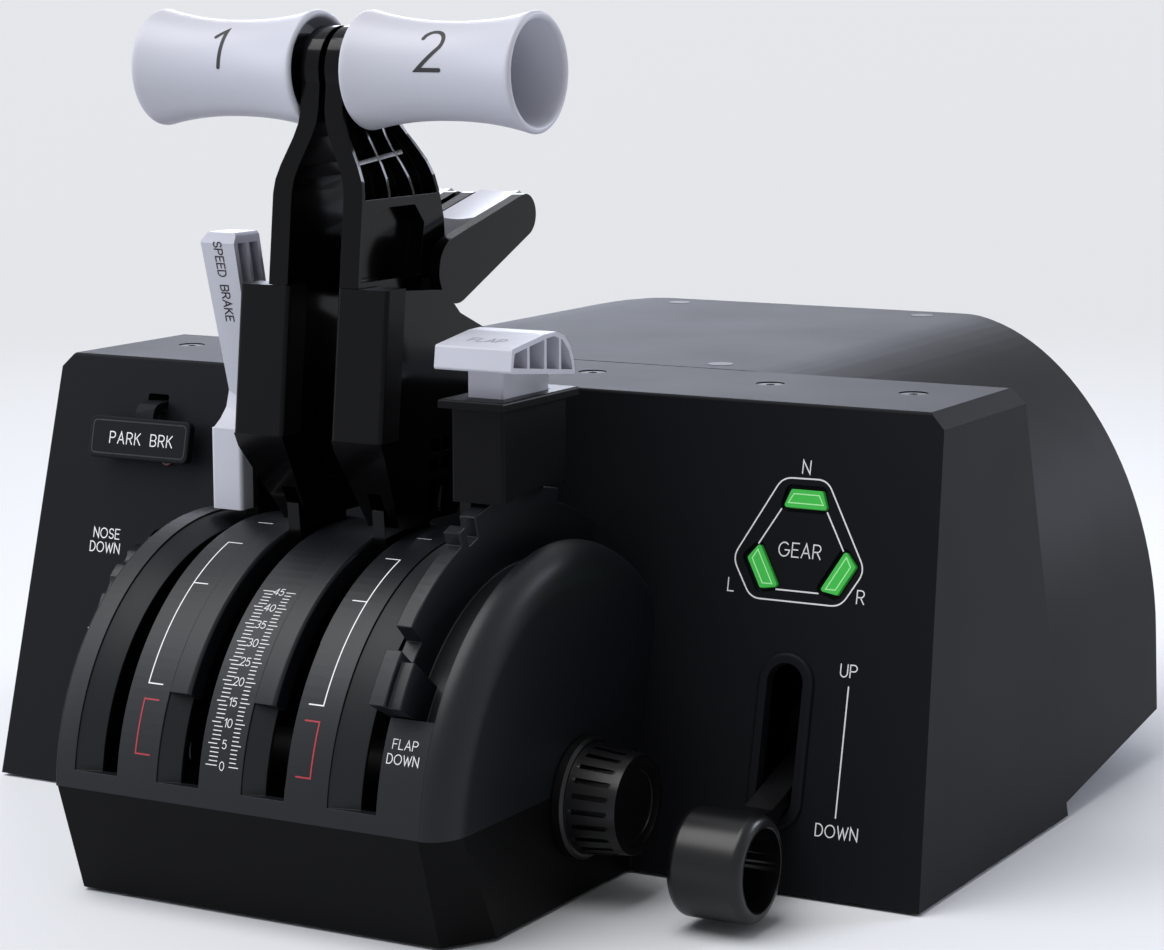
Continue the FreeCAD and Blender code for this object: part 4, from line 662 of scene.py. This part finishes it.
def soft_outline(corners, radius):
    """Closed outline with round corners: with a and b the points a radius before and after corner c,
    the corner becomes the curve (1 - t)^2 a + 2t (1 - t) c + t^2 b."""
    corners = np.asarray(corners, dtype=float)
    before, after = np.roll(corners, 1, axis=0), np.roll(corners, -1, axis=0)
    to_before = (before - corners) / np.linalg.norm(before - corners, axis=1)[:, None]
    to_after = (after - corners) / np.linalg.norm(after - corners, axis=1)[:, None]
    t = np.linspace(0, 1, 7)[None, :, None]
    first, last = (corners + to_before * radius)[:, None], (corners + to_after * radius)[:, None]
    path = ((1 - t) ** 2 * first + 2 * t * (1 - t) * corners[:, None] + t ** 2 * last).reshape(-1, 2)
    return np.vstack([path, path[:1]])


plate_words = [path for word in PLATE_WORDS for path in word_paths(*word)]
print_on("plate_words", plate_words, WORD_LINE, plate_surface(), "quadrant", print_white)
print_on("gear_travel_line", [run(*GEAR_TRAVEL)], RULE_LINE, plate_surface(), "quadrant", print_white)
gear_frame = soft_outline(GEAR_FRAME, FRAME_ROUNDING)
print_on("gear_outline", [gear_frame], RULE_LINE, plate_surface(), "quadrant", print_white)
inner_lines = [run(*line) for line in GEAR_INNER]
print_on("gear_inner_lines", inner_lines, RULE_LINE, plate_surface(), "quadrant", print_white)

# %% [markdown]
# ## Facets of the lamp lenses
# A lit lens is brightest in a thin line a little way in from its rim, where a slanted facet gathers the
# light. The lens could be cut into facets, but a bright closed line on its top shows the same at this size.

# %% Lens facets
LENSES = ((113.7, 107.6, 0.0), (101.9, 87.5, 120.0), (126.2, 87.5, -120.0))  # X, Z and turn in degrees
LENS_TOP = -0.4
FACET_LONG, FACET_SHORT, FACET_HALF = 5.4, 3.9, 1.3
FACET_LINE = 0.35


def lens_facets():
    """Each lens's trapezium, turned by its angle, squashed by the plate's lean and moved to its middle."""
    corners = run((-FACET_LONG, -FACET_HALF), (FACET_LONG, -FACET_HALF), (FACET_SHORT, FACET_HALF),
                  (-FACET_SHORT, FACET_HALF), (-FACET_LONG, -FACET_HALF))
    outlines = []
    for x, z, turn in LENSES:
        c, s = math.cos(math.radians(turn)), math.sin(math.radians(turn))
        flat = corners @ np.array([[c, s], [-s, c]])
        flat[:, 1] *= math.cos(PLATE_LEAN)
        outlines.append(flat + [x, z])
    return outlines


print_on("lens_facets", lens_facets(), FACET_LINE, plate_surface(LENS_TOP), "quadrant", lens_bright)

# %% [markdown]
# ## Lip beside the pedestal
# Where the pedestal's right side meets the plate, the housing is moulded with a low lip that hides the gap.
# It could be cut from a larger shape, but a small section with its top corners cut off, carried along the
# seam, gives an even lip however the seam bends.

# %% Lip
LIP_PATH = ((49.2, 85.8), (54.6, 82.3), (57.6, 79.4), (62.6, 72.6), (67.0, 63.9), (68.3, 58.6), (69.0, 47.4),
            (69.7, 25.0), (70.35, 0.6))
LIP_SECTION = ((-0.7, -INK), (-0.7, 0.7), (-0.4, 1.0), (0.4, 1.0), (0.7, 0.7), (0.7, -INK))
LIP_STEP = 2.0


def lip_rings():
    """Points (along, round, xyz): the path, plus side times the section's x, plus the normal times its y."""
    path, section = dense(run(*LIP_PATH), LIP_STEP), run(*LIP_SECTION)
    along = np.gradient(path, axis=0)
    along /= np.linalg.norm(along, axis=1)[:, None]
    side = np.stack([-along[:, 1], along[:, 0]], axis=1)
    flat = path[:, None] + side[:, None] * section[None, :, :1]
    base = plate_surface()(flat[..., 0].ravel(), flat[..., 1].ravel()).reshape(len(path), len(section), 3)
    out = np.array([0.0, -math.cos(PLATE_LEAN), math.sin(PLATE_LEAN)])
    return base + out * section[None, :, 1:]


def pedestal_lip():
    """The rings joined by quads, closed at both ends, with all faces turned outwards."""
    points = lip_rings()
    index = np.arange(points[..., 0].size).reshape(points.shape[:2])
    near, far = index[:-1], index[1:]
    walls = np.stack([near, far, np.roll(far, -1, axis=1), np.roll(near, -1, axis=1)], axis=2).reshape(-1, 4)
    faces = walls.tolist() + [index[0].tolist(), index[-1][::-1].tolist()]
    lip = add_object("pedestal_lip", to_frame(points.reshape(-1, 3)), faces, "quadrant", housing_black,
                     smooth=False)
    work = bmesh.new()
    work.from_mesh(lip.data)
    bmesh.ops.recalc_face_normals(work, faces=work.faces)
    work.to_mesh(lip.data)
    work.free()
    print("the lip has", len(faces), "faces")


pedestal_lip()

# %% [markdown]
# ## Park brake tab
# The tab stands off the plate and swings with its lever, so its border and its words ride on the tab's
# body. The border is a satin line near the rim, which catches the light on the grained tab. It could be a
# groove, but a line of another gloss shows the same at this size.

# %% Park brake tab
PARK_FACE = 6.6
PARK_CORNERS = ((-133.0, 113.2), (-97.0, 113.2), (-97.0, 103.0), (-133.0, 103.0))
PARK_ROUNDING = 1.6
PARK_BORDER, PARK_LINE = 0.45, 0.36
tab_face = plate_surface(PARK_FACE)
tab_border = soft_outline(PARK_CORNERS, PARK_ROUNDING)
print_on("park_brake_border", [tab_border], PARK_BORDER, tab_face, "park_brake_tab", fitting_black)
tab_words = word_paths("PARK BRK", 3.5, -114.0, 108.0, spacing=0.3)
print_on("park_brake_words", tab_words, PARK_LINE, tab_face, "park_brake_tab", print_white)

# %% [markdown]
# ## Arc cover legends
# The curved cover carries a scale from 0 to 45 between the thrust slots, a white bracket for each lever's
# forward range and a red one for reverse. They could be drawn flat and wrapped round by a modifier, but all
# of them lie on a cylinder about the lever axle, so a height is simply an angle there.

# %% Arc surface
def arc_surface(u, v):
    """Cylinder about the axle: u is X, and v = radius times angle, from straight ahead upwards."""
    angle = v / ARC_RADIUS
    r = ARC_RADIUS + INK
    return np.stack([u, AXLE[1] - r * np.cos(angle), AXLE[2] + r * np.sin(angle)], axis=1)


def arc_length(degrees):
    """Length along the arc cover for an angle: radius times angle."""
    return math.radians(degrees) * ARC_RADIUS


# %% Scale from 0 to 45
SCALE_ZERO, SCALE_STEP, SCALE_END = 12.6, 0.94, 45
NUMBER_MID, NUMBER_HEIGHT = -1.7, 2.3
TICK_LINE, NUMBER_LINE = 0.24, 0.22


def scale_marks():
    """Ticks beside the figures, longer every fifth unit, each at 12.6 + 0.94 times its unit in degrees."""
    ticks, numbers = [], []
    for unit in range(SCALE_END + 1):
        v = arc_length(SCALE_ZERO + SCALE_STEP * unit)
        major = unit % 5 == 0
        between = major and unit not in (0, SCALE_END)
        ticks.append(run((-6.9 if major else -6.0, v), (-4.2 if between else -3.4, v)))
        ticks.append(run((0.7, v), (3.6 if major else 2.7, v)))
        if major:
            numbers += word_paths(str(unit), NUMBER_HEIGHT, NUMBER_MID, v, spacing=0.2)
    return ticks, numbers


ticks, numbers = scale_marks()
print_on("scale_ticks", ticks, TICK_LINE, arc_surface, "quadrant", print_white)
print_on("scale_numbers", numbers, NUMBER_LINE, arc_surface, "quadrant", print_white)

# %% Range brackets and flap legend
BRACKETS = (  # in X: the line, the ends of its ticks, both ends of the top mark
    (-30.6, -25.9, (-30.1, -25.2)),
    (26.95, 22.4, (23.6, 28.2)),
)
FORWARD_RANGE = (28.5, 54.9, 70.2)
REVERSE_RANGE = (12.7, 24.9)
TOP_MARK = 82.0
WHITE_LINE, RED_LINE, FLAP_LINE = 0.36, 0.45, 0.26


def range_brackets():
    """White and red brackets beside each thrust slot, open towards it, and a short mark near the top."""
    low, middle, high = (arc_length(angle) for angle in FORWARD_RANGE)
    bottom, top = (arc_length(angle) for angle in REVERSE_RANGE)
    mark = arc_length(TOP_MARK)
    white, red = [], []
    for line, tick, (mark_from, mark_to) in BRACKETS:
        white.append(run((tick, high), (line, high), (line, low), (tick, low)))
        white.append(run((line, middle), (tick, middle)))
        white.append(run((mark_from, mark), (mark_to, mark)))
        red.append(run((tick, top), (line, top), (line, bottom), (tick, bottom)))
    return white, red


white, red = range_brackets()
print_on("range_brackets", white, WHITE_LINE, arc_surface, "quadrant", print_white)
print_on("reverse_brackets", red, RED_LINE, arc_surface, "quadrant", print_red)
flap_words = word_paths("FLAP", 2.5, 54.6, arc_length(22.5))
flap_words += word_paths("DOWN", 2.5, 54.6, arc_length(19.3))
print_on("flap_words", flap_words, FLAP_LINE, arc_surface, "quadrant", print_white)

# %% [markdown]
# ## Legends on the grips and handles
# The grips carry a large 1 and 2, the speed brake paddle its name down its leaning front, and the flap
# handle a quiet word on top. Each has its own surface function, and each legend rides on its own lever.

# %% Grip figures
FIGURE_HEIGHT, FIGURE_LINE, FIGURE_UP = 11.7, 1.2, 6.5


def grip_surface(side):
    """Front of a grip: u along X, and v = radius times angle, from the line nearest the user upwards."""
    def place(u, v):
        t = (side * (u - LEVER_MID) - GRIP_ENDS[0]) / GRIP_LENGTH
        r = spool_radius(t) + INK
        angle = v / r
        return np.stack([u, GRIP_CENTRE[1] - r * np.cos(angle), GRIP_CENTRE[2] + r * np.sin(angle)], axis=1)
    return place


for number, side in ((1, -1), (2, 1)):
    figure = word_paths(str(number), FIGURE_HEIGHT, LEVER_MID + side * sum(GRIP_ENDS) / 2, FIGURE_UP)
    print_on(f"grip_number_{number}", figure, FIGURE_LINE, grip_surface(side), f"thrust_lever_{number}",
             print_dark, step=0.5)

# %% Words on the speed brake and flap handles
PADDLE_LINE, HANDLE_LINE = 0.42, 0.4
BRAKE_FRONT = np.array([-44.6, -23.2, 129.0])
BRAKE_LEAN = math.radians(14.0)
FLAP_TOP = ((-50.6, 154.9), (-33.0, 157.3))  # Y and Z at the front and rear of the handle's top


def paddle_surface(u, v):
    """Front of the speed brake paddle, which leans forward: u is X from its middle, v goes up the slope."""
    y = BRAKE_FRONT[1] - v * math.sin(BRAKE_LEAN) - INK * math.cos(BRAKE_LEAN)
    z = BRAKE_FRONT[2] + v * math.cos(BRAKE_LEAN) - INK * math.sin(BRAKE_LEAN)
    return np.stack([BRAKE_FRONT[0] + u, y, z], axis=1)


def flap_surface(u, v):
    """Top of the flap handle: u is X, v is Y, and Z rises in a straight line from front to rear."""
    (y0, z0), (y1, z1) = FLAP_TOP
    return np.stack([u, v, z0 + (v - y0) * (z1 - z0) / (y1 - y0) + INK], axis=1)


paddle_words = word_paths("SPEED BRAKE", 2.7, 0.0, 38.9, turn=-math.pi / 2)
print_on("speed_brake_words", paddle_words, PADDLE_LINE, paddle_surface, "speed_brake_lever", print_dark)
handle_words = word_paths("FLAP", 3.6, 50.0, -43.0)
print_on("flap_handle_words", handle_words, HANDLE_LINE, flap_surface, body_of("flap_handle"), print_grey)

# %% [markdown]
# ## Camera
# The object is seen from its right front, slightly from above, from nearly a metre away. A long lens from
# there keeps the wedge's edges nearly parallel. The camera could be aimed by a constraint, but three angles
# give its axes exactly.

# %% Camera
CAMERA_YAW, CAMERA_PITCH, CAMERA_ROLL = 0.510795, 0.158888, -0.002865
CAMERA_PLACE = (479.43, -757.45, 252.55)
CAMERA_LENS, CAMERA_SENSOR = 95.92, 36.0


def make_camera():
    """Ahead is (-sin yaw cos pitch, cos yaw cos pitch, -sin pitch); the roll then turns right and up."""
    cos_yaw, sin_yaw = math.cos(CAMERA_YAW), math.sin(CAMERA_YAW)
    ahead = np.array([-sin_yaw, cos_yaw, 0.0]) * math.cos(CAMERA_PITCH) - [0.0, 0.0, math.sin(CAMERA_PITCH)]
    level = np.array([cos_yaw, sin_yaw, 0.0])
    upright = np.cross(level, ahead)
    right = math.cos(CAMERA_ROLL) * level + math.sin(CAMERA_ROLL) * upright
    up = -math.sin(CAMERA_ROLL) * level + math.cos(CAMERA_ROLL) * upright
    data = bpy.data.cameras.new("camera")
    data.lens = CAMERA_LENS
    data.sensor_width = CAMERA_SENSOR
    camera = bpy.data.objects.new("camera", data)
    bpy.context.scene.collection.objects.link(camera)
    axes = np.stack([right, up, -ahead], axis=1)
    camera.matrix_world = Matrix.Translation(to_frame(CAMERA_PLACE)) @ Matrix(axes.tolist()).to_4x4()
    bpy.context.scene.camera = camera


make_camera()
print("the camera stands at", to_frame(CAMERA_PLACE).round(3), "m")

# %% [markdown]
# ## Floor
# A studio sweep of pale paper carries a soft shadow and nothing else. A very wide flat floor in the room's
# own colour does the same, because its far edge meets the room at the horizon.

# %% Floor
ROOM_COLOUR = "#dcdee2"
FLOOR_HALF = 90.0


def make_floor():
    """A square of plus and minus FLOOR_HALF metres, dull and pale."""
    material = bpy.data.materials.new("studio_floor")
    material.use_nodes = True
    shader = material.node_tree.nodes["Principled BSDF"]
    shader.inputs["Base Color"].default_value = linear(ROOM_COLOUR)
    shader.inputs["Roughness"].default_value = 0.9
    mesh = bpy.data.meshes.new("floor")
    corners = [(-FLOOR_HALF, -FLOOR_HALF, 0), (FLOOR_HALF, -FLOOR_HALF, 0),
               (FLOOR_HALF, FLOOR_HALF, 0), (-FLOOR_HALF, FLOOR_HALF, 0)]
    mesh.from_pydata(corners, [], [(0, 1, 2, 3)])
    mesh.materials.append(material)
    floor = bpy.data.objects.new("floor", mesh)
    bpy.context.scene.collection.objects.link(floor)


make_floor()
print("the floor is", 2 * FLOOR_HALF, "m wide")

# %% [markdown]
# ## Light
# Black plastic shows little of its own colour, so its shape is read from reflections. A wide soft sun from
# the front left stands for an overcast sky, and long strip lamps at the left and behind draw a line of
# light along the edges. The pale room is what the camera, gloss and clear plastic see, while a weaker white
# fills the shadows, because a room as bright as it looks would wash the blacks out.

# %% World
AMBIENT = 0.3


def make_world():
    """The room's colour for rays from the camera, gloss or transmission, and ambient light for the rest."""
    world = bpy.data.worlds.new("studio")
    bpy.context.scene.world = world
    world.use_nodes = True
    tree = world.node_tree
    ambient = tree.nodes["Background"]
    ambient.inputs["Color"].default_value = linear("#ffffff")
    ambient.inputs["Strength"].default_value = AMBIENT
    room = add_node(tree, "ShaderNodeBackground", inputs={"Color": linear(ROOM_COLOUR), "Strength": 1.0})
    rays = add_node(tree, "ShaderNodeLightPath")
    seen = add_node(tree, "ShaderNodeMath", {"operation": "MAXIMUM"},
                    links={0: rays.outputs["Is Camera Ray"], 1: rays.outputs["Is Glossy Ray"]})
    seen = add_node(tree, "ShaderNodeMath", {"operation": "MAXIMUM"},
                    links={0: seen.outputs[0], 1: rays.outputs["Is Transmission Ray"]})
    mix = add_node(tree, "ShaderNodeMixShader",
                   links={0: seen.outputs[0], 1: ambient.outputs[0], 2: room.outputs[0]})
    tree.links.new(mix.outputs[0], tree.nodes["World Output"].inputs["Surface"])


make_world()
print("ambient light at", AMBIENT)

# %% Sun and strip lamps
SUN_FROM, SUN_POWER, SUN_ANGLE = (-0.25, -0.3, 0.92), 2.6, 50
STRIP_SPREAD = 60
STRIPS = (  # name, place and target in metres, length and width in metres, watts
    ("left_strip", (-0.9, -0.7, 0.5), (0, 0, 0.15), 0.15, 1.0, 0.7),
    ("rear_left_strip", (-0.85, 1.35, 0.62), (0, 0.05, 0.15), 1.0, 0.5, 1.3),
    ("rear_right_strip", (0.95, 1.2, 0.7), (0.1, 0.05, 0.15), 0.7, 0.4, 1.3),
)


def aimed(name, data, place, target):
    """A lamp at a place, turned so that its own -Z, the way it shines, points at the target."""
    lamp = bpy.data.objects.new(name, data)
    bpy.context.scene.collection.objects.link(lamp)
    lamp.rotation_mode = "QUATERNION"
    lamp.rotation_quaternion = (Vector(place) - Vector(target)).to_track_quat("Z", "Y")
    lamp.location = place
    return lamp


def strip_lamp(name, place, target, long, wide, power):
    """Long softbox that the camera doesn't see, with a cool tint and a narrowed spread."""
    data = bpy.data.lights.new(name, "AREA")
    data.shape = "RECTANGLE"
    data.size, data.size_y = long, wide
    data.energy = power
    data.spread = math.radians(STRIP_SPREAD)
    data.color = linear("#e2e8fa")[:3]
    aimed(name, data, place, target).visible_camera = False


sky = bpy.data.lights.new("soft_sky", "SUN")
sky.energy = SUN_POWER
sky.angle = math.radians(SUN_ANGLE)
aimed("soft_sky", sky, SUN_FROM, (0, 0, 0))
for strip in STRIPS:
    strip_lamp(*strip)
print("lamps:", len(bpy.data.lights))

bpy.context.scene.view_settings.view_transform = "Standard"
